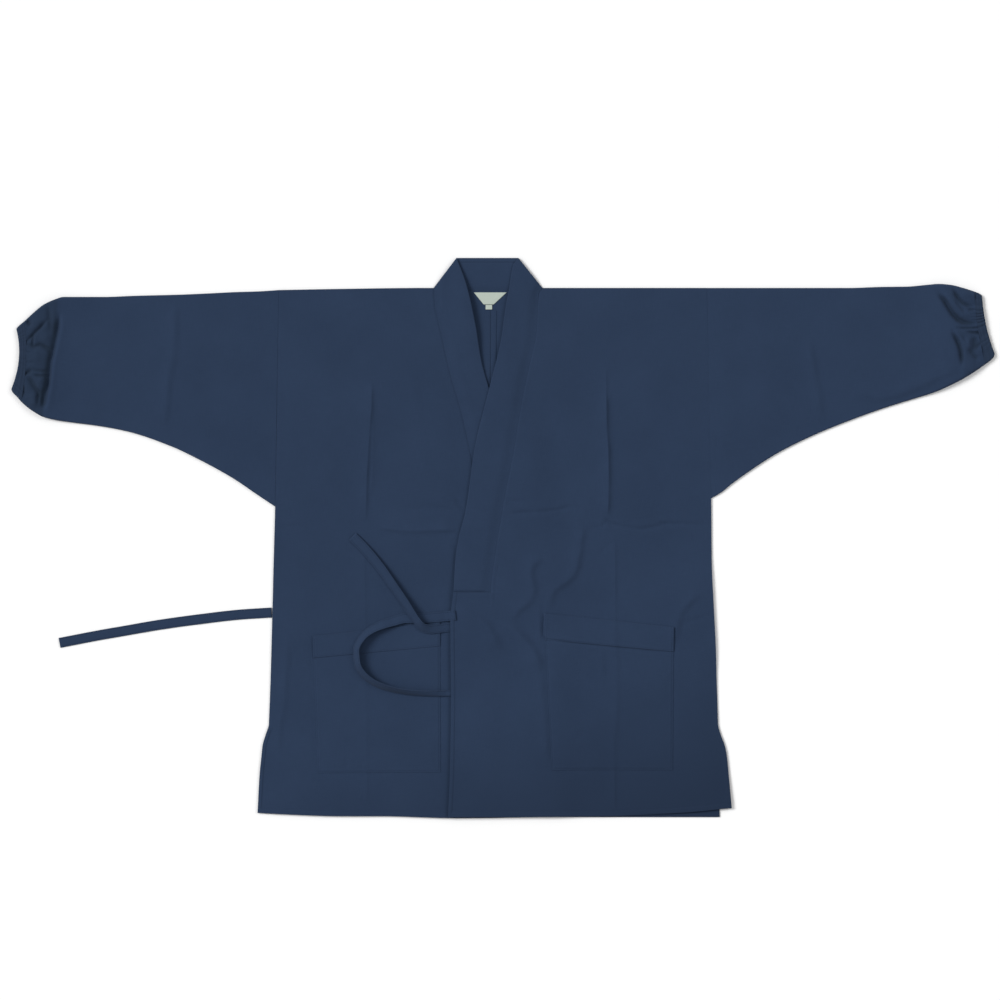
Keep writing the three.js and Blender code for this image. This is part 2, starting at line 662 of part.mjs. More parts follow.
function tie(name) {
  const rows = TIES[name];
  const curve = new THREE.CatmullRomCurve3(
    rows.map((row) => new THREE.Vector3(row.across, -row.down, row.rest)), false, 'centripetal');
  const steps = Math.round(curve.getLength() / TIE_STEP);
  const section = (k) => {
    const t = k / steps;
    const middle = curve.getPointAt(t);
    const tangent = curve.getTangentAt(t);
    const place = curve.getUtoTmapping(t) * (rows.length - 1);
    const before = Math.min(Math.floor(place), rows.length - 2);
    const lean = degToRad(lerp(rows[before].lean, rows[before + 1].lean, place - before));
    const aside = new THREE.Vector2(-tangent.y, tangent.x).normalize();
    const raise = (TIE_WIDTH / 2) * Math.abs(Math.sin(lean));
    const corner = (w, h) => ({
      x: middle.x + aside.x * (w * Math.cos(lean) - h * Math.sin(lean)),
      y: middle.y + aside.y * (w * Math.cos(lean) - h * Math.sin(lean)),
      z: middle.z + raise + w * Math.sin(lean) + h * Math.cos(lean),
    });
    const half = TIE_WIDTH / 2;
    return [corner(-half, 0), corner(half, 0), corner(half, TIE_THICKNESS), corner(-half, TIE_THICKNESS)];
  };
  const shell = new Shell(true);
  const corner = (k, m) => {
    const p = section(k)[m % TIE_SIDES];
    return shell.corner(`${k},${m % TIE_SIDES}`, p.x, p.y, p.z);
  };
  for (let k = 0; k < steps; k++) {
    for (let m = 0; m < TIE_SIDES; m++) {
      shell.quad(corner(k, m), corner(k + 1, m), corner(k + 1, m + 1), corner(k, m + 1));
    }
  }
  shell.quad(corner(0, 0), corner(0, 1), corner(0, 2), corner(0, 3));
  shell.quad(corner(steps, 3), corner(steps, 2), corner(steps, 1), corner(steps, 0));
  return shell.mesh(name, CLOTH_COLOUR);
}

// Label and size tab, on the back just below the neck seam

function flatPatch(name, corners) {
  return clothWall(name, {
    rows: 1,
    columns: 1,
    point: (i, j) => ({
      x: j === 0 ? corners[i].from : corners[i].to,
      y: -corners[i].down,
      lower: ON_BACK,
      upper: ON_BACK + LABEL_THICKNESS,
    }),
    colour: LABEL_COLOUR,
  });
}

// Assembly

const samue = new THREE.Group();

for (const side of ['left', 'right']) {
  const grid = frontGrid(side);
  const panel = front(side, grid);
  samue.add(back(side), panel.mesh, pocket(side, grid, panel.point), collarBand(side, grid));
  samue.add(sleeve(side), cuff(side));
}
samue.add(collarBack());
samue.add(...Object.keys(TIES).map(tie));
samue.add(flatPatch('neck_label', LABEL), flatPatch('size_tab', TAB));

// The origin is the middle of the garment's footprint, on the surface that it lies on.
const box = new THREE.Box3().setFromObject(samue);
const centre = box.getCenter(new THREE.Vector3());
samue.position.set(-centre.x, -centre.y, -box.min.z);

export default samue;
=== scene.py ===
# %% [markdown]
# # A samue jacket, laid flat
# A samue is a Japanese work jacket: straight panels of plain cotton, a long band for a collar, and
# ties instead of buttons. This one lies on its back with its sleeves spread. Cloth that lies flat is
# best built as sheets whose edges follow the sewn cut and whose heights say what lies under them:
# the back first, then the inner front, then the outer front, and last the pockets and the ties.

from collections import namedtuple

import bpy
import numpy as np
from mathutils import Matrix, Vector


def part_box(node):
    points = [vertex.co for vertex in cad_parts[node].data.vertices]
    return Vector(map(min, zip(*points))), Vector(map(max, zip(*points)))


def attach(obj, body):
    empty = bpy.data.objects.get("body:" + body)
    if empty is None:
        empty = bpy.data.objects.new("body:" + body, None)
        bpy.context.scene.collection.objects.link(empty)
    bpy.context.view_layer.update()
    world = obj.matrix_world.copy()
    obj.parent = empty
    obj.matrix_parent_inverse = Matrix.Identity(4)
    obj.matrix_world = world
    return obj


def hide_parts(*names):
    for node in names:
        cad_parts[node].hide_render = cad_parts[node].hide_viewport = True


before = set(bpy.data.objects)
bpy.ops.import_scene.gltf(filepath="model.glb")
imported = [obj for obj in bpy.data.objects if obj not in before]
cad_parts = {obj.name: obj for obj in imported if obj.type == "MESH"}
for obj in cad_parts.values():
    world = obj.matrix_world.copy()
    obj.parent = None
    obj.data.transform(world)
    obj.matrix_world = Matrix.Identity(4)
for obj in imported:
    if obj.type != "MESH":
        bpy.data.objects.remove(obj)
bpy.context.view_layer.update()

# %% [markdown]
# ## Camera
# The garment is seen from straight above. A long lens far away keeps its edges free of perspective,
# as a copy stand does, and one pixel of the picture covers 1.45 mm of cloth.

# %% Camera
MM = 0.001
PICTURE_WIDTH = 1.45  # metres of garment across the picture
PICTURE_MIDDLE = (-0.00435, 0.0551)
CAMERA_HEIGHT = 6.0

bpy.ops.object.select_all(action="DESELECT")
bpy.ops.object.camera_add(location=(*PICTURE_MIDDLE, CAMERA_HEIGHT), rotation=(0, 0, 0))
camera = bpy.context.object
camera.data.lens = camera.data.sensor_width * CAMERA_HEIGHT / PICTURE_WIDTH
bpy.context.scene.camera = camera
print("camera: lens", round(camera.data.lens), "mm")

# %% [markdown]
# ## Places on the garment
# A tailor measures from the garment itself, so places here are "across" from the centre line toward
# the wearer's left sleeve, and "down" from the shoulder line toward the hem, in millimetres. The back
# of the collar, a piece of known size, says where those two lines lie in the frame.

# %% Places, and smooth curves through a few of them
COLLAR_RISE = 43.5  # from the shoulder line up to the fold of the back collar
NECK_RIGHT = -83.4  # where the neckline starts, on the wearer's right
NECK_LEFT = 71  # and where it ends

collar_low, collar_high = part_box("collar_back")
CENTRE_X = collar_low.x / MM - NECK_RIGHT
SHOULDER_Y = collar_high.y / MM - COLLAR_RISE


def place(across, down, height):
    """Points of the frame, in metres, for places on the garment in millimetres."""
    across, down, height = np.broadcast_arrays(across, down, height)
    return np.stack([CENTRE_X + across, SHOULDER_Y - down, height], axis=-1) * MM


def curve(rows):
    """A smooth curve through rows of (place, value) that never swings past them."""
    at, value = np.array(rows, float).T
    rate = np.diff(value) / np.diff(at)
    product = rate[:-1] * rate[1:]
    total = np.where(product > 0, rate[:-1] + rate[1:], 1)
    slope = np.concatenate([rate[:1], np.where(product > 0, 2 * product / total, 0), rate[-1:]])

    def read(x):
        x = np.clip(x, at[0], at[-1])
        k = np.clip(np.searchsorted(at, x, side="right") - 1, 0, len(at) - 2)
        gap = at[k + 1] - at[k]
        t = (x - at[k]) / gap
        start = value[k] * (1 + 2 * t) + slope[k] * gap * t
        end = value[k + 1] * (3 - 2 * t) - slope[k + 1] * gap * (1 - t)
        return start * (1 - t) ** 2 + end * t**2

    return read


def smooth(x, low, high):
    """0 below low, 1 above high, and a soft rise between."""
    t = np.clip((x - low) / (high - low), 0, 1)
    return t * t * (3 - 2 * t)


def mix(a, b, share):
    return a + (b - a) * share


def bell(x, width):
    return np.exp(-((x / width) ** 2))


def soft_floor(height, floor, ease):
    """Keeps a height above a floor, with a soft turn where it would touch."""
    return floor + ease * np.logaddexp(0, (height - floor) / ease)


print("centre line at x", round(CENTRE_X, 2), "mm, shoulder line at y", round(SHOULDER_Y, 2), "mm")

# %% [markdown]
# ## The cut of the jacket
# These curves are the sewn edges, as they lie. Left and right are the wearer's. "Out" is the
# distance from the centre line toward the side that is named. The press line is the sharp fold down
# each front that the jacket had in its bag.

# %% Edges of the panels
COLLAR_END = 441
HEM = 767
FREE_EDGE = {
    "left": curve([(-43.5, 36.5), (-33, 29), (4, 22.5), (32, 17.4), (72, 12), (104, 5), (146, -5.8),
                   (228, -26), (323, -40), (365, -50.5), (396, -55), (441, -57.3)]),
    "right": curve([(-43.5, 53), (-4, 38.4), (54, 25.4), (107, 16.7), (145, 5.8), (228, -26),
                    (323, -40), (365, -50.5), (396, -55), (441, -57.3)]),
}
COLLAR_SEAM = {
    "left": curve([(0, 71.5), (8, 66), (64, 62.5), (110, 53), (146, 45.2), (187, 37.6), (236, 29.7),
                   (299, 17.4), (336, 10.9), (390, 2.2), (441, -3.6), (767, -3.6)]),
    "right": curve([(0, 86.3), (23, 84.8), (67, 75.4), (128, 61.6), (178, 47.1), (228, 35.5),
                    (258, 29), (299, 18.1), (336, 10.9), (390, 2.2), (441, -3.6), (767, -3.6)]),
}
FRONT_EDGE = curve([(441, -57.5), (483, -62), (592, -61), (696, -62.5), (767, -65.4)])
SIDE_EDGE = {
    "left": curve([(0, 310), (305, 316), (402, 317), (460, 319.7), (517, 322.6), (632, 326),
                   (648, 330), (663, 335.7), (677, 338.6), (706, 341.5), (754, 345.8)]),
    "right": curve([(0, 311), (317, 316), (402, 318.3), (460, 319.7), (517, 321.2), (632, 325),
                    (648, 329.9), (663, 334.2), (677, 335.7), (706, 338.6), (761, 341.5)]),
}
BACK_SIDE = {
    "left": curve([(0, 310), (305, 316), (402, 317), (460, 319.7), (632, 326), (767, 328.4)]),
    "right": curve([(0, 311), (317, 316), (402, 318.3), (460, 319.7), (632, 325), (767, 336)]),
}
SHOULDER = {
    "left": curve([(0, 0), (320, 0)]),
    "right": curve([(0, 0), (100, 0), (221, 1.4), (320, 3.2)]),
}
BACK_HEM = {
    "left": curve([(-4, 767), (329, 767)]),
    "right": curve([(3, 767), (165, 765), (220, 764.5), (336, 761)]),
}
FRONT_HEM = {
    "left": curve([(-66, 767), (160, 766), (214, 763.6), (272, 760.6), (300, 758.4), (330, 755.2),
                   (346, 754)]),
    "right": curve([(-66, 767), (47, 768.5), (165, 765.6), (220, 765.6), (308, 762.7), (342, 761)]),
}
NECKLINE = curve([(-83.4, 0), (-68, 1.8), (-48, 3.2), (-24, 4.1), (-3.6, 4.4), (16, 4), (36, 3.2),
                  (56, 1.7), (71, 0)])
CENTRE_SEAM = -3.6
PRESS_LINE = {
    "left": curve([(0, 160), (119, 163.9), (162, 163.9), (206, 164.6), (235, 166.8), (278, 167.5),
                   (315, 166.8), (336, 164.6), (356, 172), (390, 176.9), (510, 176.9), (540, 179.8),
                   (600, 180.5), (655, 175.5), (767, 176.5)]),
    "right": curve([(0, 170), (140, 176.2), (170, 176.2), (206, 179), (242, 181.3), (278, 183.4),
                    (315, 184.2), (341, 185.6), (390, 186), (560, 184), (767, 182.7)]),
}
SIGN = {"left": 1, "right": -1}
print("hem", HEM, "mm below the shoulder line, end of the collar band at", COLLAR_END, "mm")

# %% [markdown]
# ## What lifts the cloth
# Cloth that passes over something rises gently on the way there. The outer front passes over the
# inner front and its band, and over the tie that is hidden beneath it. Each rise is a height that
# fades with the distance from what lies below, so that no edge below shows as a hard step.

# %% Heights of the layers
PLY = 0.7  # one ply of the cloth with its nap
ON_BACK = 1.5  # lower face of what lies on the back
BAND = 2.2  # thickness of the doubled collar band
OVER_INNER = 3.1  # rise of the outer front over the inner one and its band
OVER_TIE = 1.6  # and over the hidden tie
HIDDEN_TIE = [(317, 475.6), (281, 483), (243, 499), (199, 525), (156, 557), (122, 590), (104, 626),
              (97, 668)]


def along_line(line, across, down):
    """Distance to a line of points, positive on the left as one walks it, the run and the length."""
    nearest = np.full(np.shape(across), np.inf)
    signed = np.zeros_like(nearest)
    run = np.zeros_like(nearest)
    before = 0.0
    for (x0, y0), (x1, y1) in zip(line[:-1], line[1:]):
        length = np.hypot(x1 - x0, y1 - y0)
        ux, uy = (x1 - x0) / length, (y1 - y0) / length
        t = (across - x0) * ux + (down - y0) * uy
        on = np.clip(t, 0, length)
        away = np.hypot(across - x0 - on * ux, down - y0 - on * uy)
        side = (across - x0) * uy - (down - y0) * ux
        nearer = away < nearest
        nearest = np.where(nearer, away, nearest)
        signed = np.where(nearer, np.where(side >= 0, away, -away), signed)
        run = np.where(nearer, before + t, run)
        before += length
    return signed, run, before


def inner_boundary(down):
    """Where the inner front or its band ends, under the outer front."""
    return -np.where(down > COLLAR_END, FRONT_EDGE(down), FREE_EDGE["right"](down))


def front_rest(side, across, down):
    """Lower face of a front or of its band."""
    if side == "right":
        return np.full(np.shape(across), ON_BACK)
    over_inner = OVER_INNER * (1 - smooth(across - inner_boundary(down), 20, 70))
    away, _, _ = along_line(HIDDEN_TIE, across, down)
    return ON_BACK + over_inner + OVER_TIE * (1 - smooth(np.abs(away), 45, 95))


print("the outer front lies", ON_BACK, "to", round(ON_BACK + OVER_INNER + OVER_TIE, 1), "mm up")


# %% [markdown]
# ## Creases
# The jacket was folded for its bag, so straight pressed creases cross it, and soft diagonal folds
# run from where the ties and the overlap pull. Each crease is one line of a few points with its own
# height, and a spread to its left and to its right as one walks along it. A fold that leans has one
# steep side. A negative height is a trough, and the cloth that it pushes aside stands up as low rims.
# The height fades at both ends and wavers a little on the way, because no real crease is even.

# %% Creases as ridges and troughs
Crease = namedtuple("Crease", "height left right sharp line")


def crease_relief(creases, across, down, rims=0.4):
    """Height that the creases add at places on the cloth."""
    total = np.zeros(np.shape(across))
    for n, crease in enumerate(creases):
        signed, run, length = along_line(crease.line, across, down)
        spread = np.where(signed > 0, crease.left, crease.right)
        profile = np.exp(-((np.abs(signed) / spread) ** crease.sharp))
        if crease.height < 0:
            profile -= rims * bell(signed, 2.6 * spread)
        fade = min(26, 0.35 * length)
        ends = smooth(run, -2, fade) * (1 - smooth(run, length - fade, length + 2))
        waver = 1 + 0.16 * np.sin(run / 17 + 2.1 * n) + 0.1 * np.sin(run / 6.3 + n)
        total += crease.height * profile * ends * waver
    return total


# %% Creases of the inner front
INNER_CREASES = [
    Crease(2.3, 3.4, 13, 1.3, [(-176.2, 135), (-176.2, 170), (-179, 206), (-181.3, 242),
                                (-183.4, 278), (-184.2, 315), (-185.6, 341)]),
    Crease(0.6, 4, 2.2, 1.5, [(-173.5, 185), (-174.5, 242), (-175.5, 278), (-177, 305)]),
    Crease(0.5, 2.4, 9, 1.3, [(-187, 350), (-186, 430), (-184, 560), (-182.7, 640), (-182.7, 752)]),
    Crease(-0.5, 3, 3, 1.4, [(-312, 345), (-268, 345.5)]),
    Crease(2.0, 9, 3.4, 1.4, [(-172, 343), (-155, 349), (-134, 351.5), (-105, 352), (-76, 350.5),
                            (-48, 351)]),
    Crease(-1.1, 7, 7, 2, [(-140, 321), (-87, 319), (-60, 322), (-46, 325)]),
    Crease(-2.4, 3.4, 4, 1.5, [(-56, 306), (-48, 314), (-41, 323)]),
    Crease(-1.6, 5, 3.2, 1.5, [(-57, 362), (-54, 385), (-55.5, 400), (-57, 420), (-60, 445),
                               (-63, 462)]),
    Crease(1.3, 3.6, 11, 1.5, [(-298, 505), (-298, 539), (-300.9, 568), (-302, 597), (-303.8, 615),
                               (-308, 629), (-309.6, 648), (-311, 675)]),
    Crease(0.5, 16, 16, 2, [(-250, 60), (-235, 180), (-240, 290)]),
    Crease(-0.45, 20, 16, 2, [(-285, 70), (-230, 105), (-195, 118)]),
    Crease(0.5, 8, 14, 2, [(-120, 120), (-104, 200), (-96, 280)]),
    Crease(-0.55, 4, 4, 1.8, [(-76, 486), (-76, 600), (-76, 700)]),
    Crease(-0.7, 3, 4, 1.7, [(-80, 703), (-160, 703.5), (-252, 704)]),
    Crease(-0.5, 4, 4, 1.8, [(-263, 506), (-259, 600), (-255.5, 700)]),
    Crease(-0.5, 5, 4, 2, [(-212, 676), (-213, 702)]),
]
print("inner front:", len(INNER_CREASES), "creases")

# %% Creases of the outer front
OUTER_CREASES = [
    Crease(1.0, 2.4, 10, 1.15, [(163.9, 112), (163.9, 162), (164.6, 206)]),
    Crease(3.5, 3.8, 10, 1.3, [(163.9, 150), (164.6, 206), (166.8, 235), (167.5, 278), (166.8, 315),
                               (164.6, 337)]),
    Crease(0.8, 2.4, 9, 1.3, [(176, 352), (176.9, 400), (176.9, 510), (179.8, 540), (180.5, 600),
                              (178, 640), (175.5, 655), (176, 700), (176.5, 764)]),
    Crease(0.7, 2.6, 7, 1.5, [(157, 518), (158.8, 545), (159, 572)]),
    Crease(-1.7, 3, 4.5, 1.4, [(14, 328), (54, 325), (76, 324), (98, 320.5), (109.5, 316.8),
                               (122, 320)]),
    Crease(-0.8, 4, 5, 1.8, [(74, 327), (88, 331), (104, 327)]),
    Crease(-0.7, 3, 4, 1.8, [(14, 304), (28, 309), (50, 310)]),
    Crease(-1.5, 3, 4.5, 1.5, [(138, 345), (156, 346), (164.6, 339), (173, 342), (185, 345),
                               (214, 349.5), (236, 346), (250, 341), (312, 343)]),
    Crease(-1.7, 3, 4, 1.5, [(160, 332), (168, 339), (178, 346)]),
    Crease(-0.8, 4, 4, 1.8, [(236, 338), (252, 344), (258, 350)]),
    Crease(-0.7, 5, 5, 1.8, [(182, 364), (164, 376), (150, 392)]),
    Crease(2.5, 3.8, 12, 1.5, [(144.3, 346.6), (131.2, 350.9), (127.6, 365.4), (126.9, 380),
                               (123.3, 391.5), (122.5, 403), (116.7, 416.2), (108, 425), (98, 430.7),
                               (89.2, 438), (84.8, 448), (83.4, 468)]),
    Crease(2.4, 4.2, 11, 1.5, [(76, 387), (66, 394.4), (57.3, 401.7), (55, 411.8), (55.8, 423.4),
                               (58.7, 432), (58.7, 440.8), (54.4, 452.4), (47, 459.7), (37, 467),
                               (29.7, 477), (23.9, 486)]),
    Crease(2.9, 6, 13, 1.7, [(-56, 460), (-32.6, 472), (-21, 478), (-12, 486), (-6, 495), (2, 508),
                             (14, 526)]),
    Crease(3.8, 6.5, 13, 1.7, [(8, 484), (24, 492), (36, 501), (48, 513), (58, 526), (65, 541),
                               (69, 562)]),
    Crease(1.3, 4, 10, 1.6, [(66, 548), (71, 585), (75, 628), (79, 690)]),
    Crease(2.0, 3.6, 10, 1.6, [(304, 440), (283.5, 456.8), (273.3, 469.8), (267.5, 484.3),
                               (262.5, 522)]),
    Crease(-0.9, 3.4, 3.4, 1.6, [(318, 474.6), (300.9, 478.5), (286.4, 482.9), (270, 488)]),
    Crease(-0.4, 1.3, 1.3, 2, [(10, 392), (3.9, 417.6), (1.6, 441), (2.2, 466)]),
    Crease(-0.4, 1.3, 1.3, 2, [(-4, 438), (-5.4, 468)]),
    Crease(-2.4, 2.2, 2.2, 1.6, [(71.2, 452), (72.4, 522)]),
    Crease(-1.7, 1.9, 1.9, 1.5, [(68, 508), (114, 514), (156, 518.6), (202, 523.8), (241, 527.4),
                                 (262, 528.6)]),
    Crease(-0.5, 5, 5, 1.8, [(110, 657), (122, 654), (136, 645)]),
    Crease(-0.5, 4, 4, 1.8, [(66, 735), (80, 737)]),
    Crease(0.6, 22, 16, 2, [(-18, 560), (0, 640), (-8, 720)]),
    Crease(-0.5, 20, 14, 2, [(170, 640), (140, 672), (112, 684)]),
    Crease(0.5, 20, 20, 2, [(95, 120), (110, 210), (96, 290)]),
    Crease(-0.4, 20, 20, 2, [(235, 90), (225, 190), (240, 280)]),
    Crease(-0.45, 4, 4, 1.8, [(74.5, 476), (80, 580), (84.8, 696)]),
    Crease(-0.7, 3.4, 4, 1.7, [(88, 699), (170, 698.5), (258, 699)]),
    Crease(-0.5, 4, 4, 1.8, [(262.6, 495), (261, 600), (261, 697)]),
]
CREASES = {"left": OUTER_CREASES, "right": INNER_CREASES}
print("outer front:", len(OUTER_CREASES), "creases")

# %% [markdown]
# ## The lie of the cloth
# Between its creases, cloth on a table is never quite flat: it keeps broad, low swells that catch the
# light. A few long waves in mixed directions make them, from a seeded generator, so that the jacket
# is the same each time. Sewing draws a seam in, which leaves small puckers along it.

# %% Swells, puckers and hems
WAVES = np.random.default_rng(7).uniform(size=(16, 4))
SHORT_WAVE, LONG_WAVE = 60, 250
PUCKER = 0.07
HEM_STEP = 0.5  # what a turned hem adds to the thickness


def swell(across, down):
    """Broad swells of the cloth, about 0 to 1."""
    total = 0.0
    for turn, scale, phase, weight in WAVES:
        angle, length = 2 * np.pi * turn, mix(SHORT_WAVE, LONG_WAVE, scale)
        along = across * np.cos(angle) + down * np.sin(angle)
        total = total + (0.5 + weight) * np.sin(2 * np.pi * (along / length + phase))
    return 0.5 + total / len(WAVES)


def pucker(away, run):
    """Small waves that a seam draws into the cloth beside it."""
    wave = np.sin(run / 2.3) + 0.7 * np.sin(run / 3.7 + 1.3) + 0.5 * np.sin(run / 1.45 + 0.4)
    return PUCKER * wave * bell(away, 5)


def hem_ply(away, width):
    """1 on a turned hem and 0 past its stitching."""
    return 1 - smooth(away, width - 0.4, width + 0.9)


def stitch_groove(away, depth=0.3, width=0.8):
    """The furrow that a row of stitches draws into the cloth."""
    return -depth * bell(away, width)


print("swells:", len(WAVES), "waves of", SHORT_WAVE, "to", LONG_WAVE, "mm")


# %% [markdown]
# ## Sheets
# Every panel is one grid over its cut. Rows and columns stand close together along edges and
# creases, where hems, stitch grooves and folds need them, and a few millimetres apart elsewhere.
# Each place has an upper and a lower face, so a turned hem or a doubled band can be thicker than the
# rest. A small Bevel then turns the sharp rim into a folded edge.

# %% Grids and closed sheets


def spaced(first, last, spacing):
    """Places from first to last whose spacing follows rows of (place, millimetres)."""
    fine = np.linspace(first, last, 4001)
    at, step = np.array(spacing, float).T
    count = np.concatenate([[0], np.cumsum(np.diff(fine) / np.interp(fine[1:], at, step))])
    number = max(2, round(count[-1]) + 1)
    return np.interp(np.linspace(0, count[-1], number), count, fine)


def grid_faces(rows, columns, has=None, around=False):
    """The quads of a grid of points, which may close on itself across its columns."""
    index = np.arange(rows * columns).reshape(rows, columns)
    if around:
        index = np.concatenate([index, index[:, :1]], axis=1)
    quads = np.stack([index[:-1, :-1], index[1:, :-1], index[1:, 1:], index[:-1, 1:]], axis=-1)
    return quads[has] if has is not None else quads.reshape(-1, 4)


def mesh_object(name, points, faces, flat):
    """A mesh with a UV map that holds its places on the flat cloth, in metres."""
    mesh = bpy.data.meshes.new(name)
    mesh.from_pydata(points.reshape(-1, 3).tolist(), [], faces.tolist())
    corners = np.empty(len(mesh.loops), int)
    mesh.loops.foreach_get("vertex_index", corners)
    layer = mesh.uv_layers.new(name="cloth")
    layer.data.foreach_set("uv", (flat.reshape(-1, 2) * MM)[corners].ravel())
    mesh.shade_smooth()
    piece = bpy.data.objects.new(name, mesh)
    bpy.context.scene.collection.objects.link(piece)
    return piece


def apply_modifiers(piece):
    bpy.ops.object.select_all(action="DESELECT")
    bpy.context.view_layer.objects.active = piece
    piece.select_set(True)
    for modifier in list(piece.modifiers):
        bpy.ops.object.modifier_apply(modifier=modifier.name)
    piece.select_set(False)


def fold_rim(piece, width):
    """Rounds the sharp rim of a sheet."""
    bevel = piece.modifiers.new("folded edge", "BEVEL")
    bevel.width = width * MM
    bevel.segments = 2
    bevel.limit_method = "ANGLE"
    bevel.angle_limit = np.radians(55)
    apply_modifiers(piece)


def sheet(name, across, down, top, thickness=PLY, has=None, flat=None, rim=0.25):
    """A closed sheet over a grid of places, from its upper face down by its thickness."""
    upper = grid_faces(*np.shape(across), has=has)
    corners = np.stack([across, -down], axis=-1).reshape(-1, 2)[upper[len(upper) // 2]]
    (ax, ay), (bx, by) = corners[1] - corners[0], corners[2] - corners[0]
    if ax * by - ay * bx < 0:
        upper = upper[:, ::-1]
    used = np.unique(upper)
    order = np.zeros(np.size(across), int)
    order[used] = np.arange(len(used))
    upper = order[upper]
    edges = np.concatenate([upper[:, [k, (k + 1) % 4]] for k in range(4)])
    count = len(used)
    open_edge = ~np.isin(edges[:, 0] * count + edges[:, 1], edges[:, 1] * count + edges[:, 0])
    start, end = edges[open_edge].T
    rim_faces = np.stack([end, start, start + count, end + count], axis=-1)
    faces = np.concatenate([upper, upper[:, ::-1] + count, rim_faces])
    flat = np.stack([across, down], axis=-1) if flat is None else flat
    flat = flat.reshape(-1, 2)[used]
    high = place(across, down, top).reshape(-1, 3)[used]
    low = place(across, down, top - thickness).reshape(-1, 3)[used]
    piece = mesh_object(name, np.concatenate([high, low]), faces, np.concatenate([flat, flat]))
    fold_rim(piece, rim)
    return piece


# %% [markdown]
# ## Cloth
# The cloth is a plain weave of dyed cotton. Each thread goes over one and under the next, which a
# checker of two sets of fine waves gives, as bump. Threads vary in thickness and in how much dye
# they took, so faint streaks run both ways, and the dye is a little uneven over a hand's width.
# Toward the lower left hem the colour is a little darker: painted shade for the light that falls off
# there. Where the elastic draws the sleeve in, painted shade darkens the cloth and the depths of its
# folds, and an attribute on those points says how much.

# %% The cloth material
THREAD = 0.62 * MM  # from one thread to the next
SHADE_ATTRIBUTE = "painted_gather_shade"  # attribute: how much painted shade darkens the cuff's gathers and folds
HEM_SHADE = 0.8  # share of the darker tone where the painted shade is deepest
HEM_SHADE_FROM, HEM_SHADE_TO = 0.62, 0.84  # metres toward the hem between which the painted shade deepens
HEM_SLANT = 0.35  # how much a step across counts as one toward the hem


def add_node(tree, kind, inputs=None, **settings):
    node = tree.nodes.new(kind)
    for name, value in settings.items():
        setattr(node, name, value)
    for name, value in (inputs or {}).items():
        if isinstance(value, bpy.types.NodeSocket):
            tree.links.new(value, node.inputs[name])
        else:
            node.inputs[name].default_value = value
    return node


def math_node(tree, operation, a, b=0.0):
    return add_node(tree, "ShaderNodeMath", {0: a, 1: b}, operation=operation).outputs[0]


def streaks(tree, flat, scale, detail):
    """Noise that is drawn out along one set of threads."""
    drawn = add_node(tree, "ShaderNodeMapping", {"Vector": flat.outputs["UV"], "Scale": scale})
    noise = add_node(tree, "ShaderNodeTexNoise",
                     {"Vector": drawn.outputs["Vector"], "Scale": 1.0, "Detail": detail})
    return noise.outputs["Fac"]


def two_tones(tree, low, high, share):
    """A colour between two others, each given as numbers or as a node's output."""
    blend = add_node(tree, "ShaderNodeMix", {"Factor": share}, data_type="RGBA")
    for socket, value in ((blend.inputs[6], low), (blend.inputs[7], high)):
        if isinstance(value, bpy.types.NodeSocket):
            tree.links.new(value, socket)
        else:
            socket.default_value = (*value, 1)
    return blend.outputs[2]


def cloth_material(name, dark, light, sheen, weave=0.10, shade_tone=None):
    """A plain weave whose colour wanders between two near tones."""
    material = bpy.data.materials.new(name)
    material.use_nodes = True
    tree = material.node_tree
    shader = tree.nodes["Principled BSDF"]
    shader.inputs["Roughness"].default_value = 0.92
    shader.inputs["Specular IOR Level"].default_value = 0.12
    shader.inputs["Sheen Weight"].default_value = sheen
    shader.inputs["Sheen Roughness"].default_value = 0.45

    flat = add_node(tree, "ShaderNodeUVMap", uv_map="cloth")
    warp = streaks(tree, flat, (1600, 60, 1), 3.0)
    weft = streaks(tree, flat, (60, 1600, 1), 3.0)
    dye = streaks(tree, flat, (11, 11, 1), 4.0)
    threads = math_node(tree, "ADD", warp, weft)
    tone = math_node(tree, "ADD", math_node(tree, "MULTIPLY", threads, 0.5),
                     math_node(tree, "MULTIPLY", dye, 0.6))
    reach = add_node(tree, "ShaderNodeMapRange",
                     {"Value": tone, "From Min": 0.55, "From Max": 1.05}).outputs["Result"]
    colour = two_tones(tree, dark, light, reach)
    split = add_node(tree, "ShaderNodeSeparateXYZ", {"Vector": flat.outputs["UV"]})
    if shade_tone:
        # Painted shade: the attribute darkens the sleeve's gathers and the depths of their folds.
        share = add_node(tree, "ShaderNodeAttribute", attribute_name=SHADE_ATTRIBUTE).outputs["Fac"]
        colour = two_tones(tree, colour, shade_tone, share)
        # Painted shade toward the hem, for the light that falls off there.
        toward_hem = math_node(tree, "ADD", split.outputs["Y"],
                               math_node(tree, "MULTIPLY", split.outputs["X"], HEM_SLANT))
        reach = {"Value": toward_hem, "From Min": HEM_SHADE_FROM, "From Max": HEM_SHADE_TO}
        deep = add_node(tree, "ShaderNodeMapRange", reach).outputs["Result"]
        colour = two_tones(tree, colour, [HEM_SHADE * part for part in dark], deep)
    tree.links.new(colour, shader.inputs["Base Color"])

    thread = np.pi / THREAD
    u = math_node(tree, "SINE", math_node(tree, "MULTIPLY", split.outputs["X"], thread))
    v = math_node(tree, "SINE", math_node(tree, "MULTIPLY", split.outputs["Y"], thread))
    over = math_node(tree, "MULTIPLY", u, v)
    weave_height = math_node(tree, "ADD", math_node(tree, "ABSOLUTE", over),
                             math_node(tree, "MULTIPLY", threads, 0.8))
    bump = add_node(tree, "ShaderNodeBump",
                    {"Height": weave_height, "Strength": 0.6, "Distance": weave * MM})
    tree.links.new(bump.outputs["Normal"], shader.inputs["Normal"])
    return material
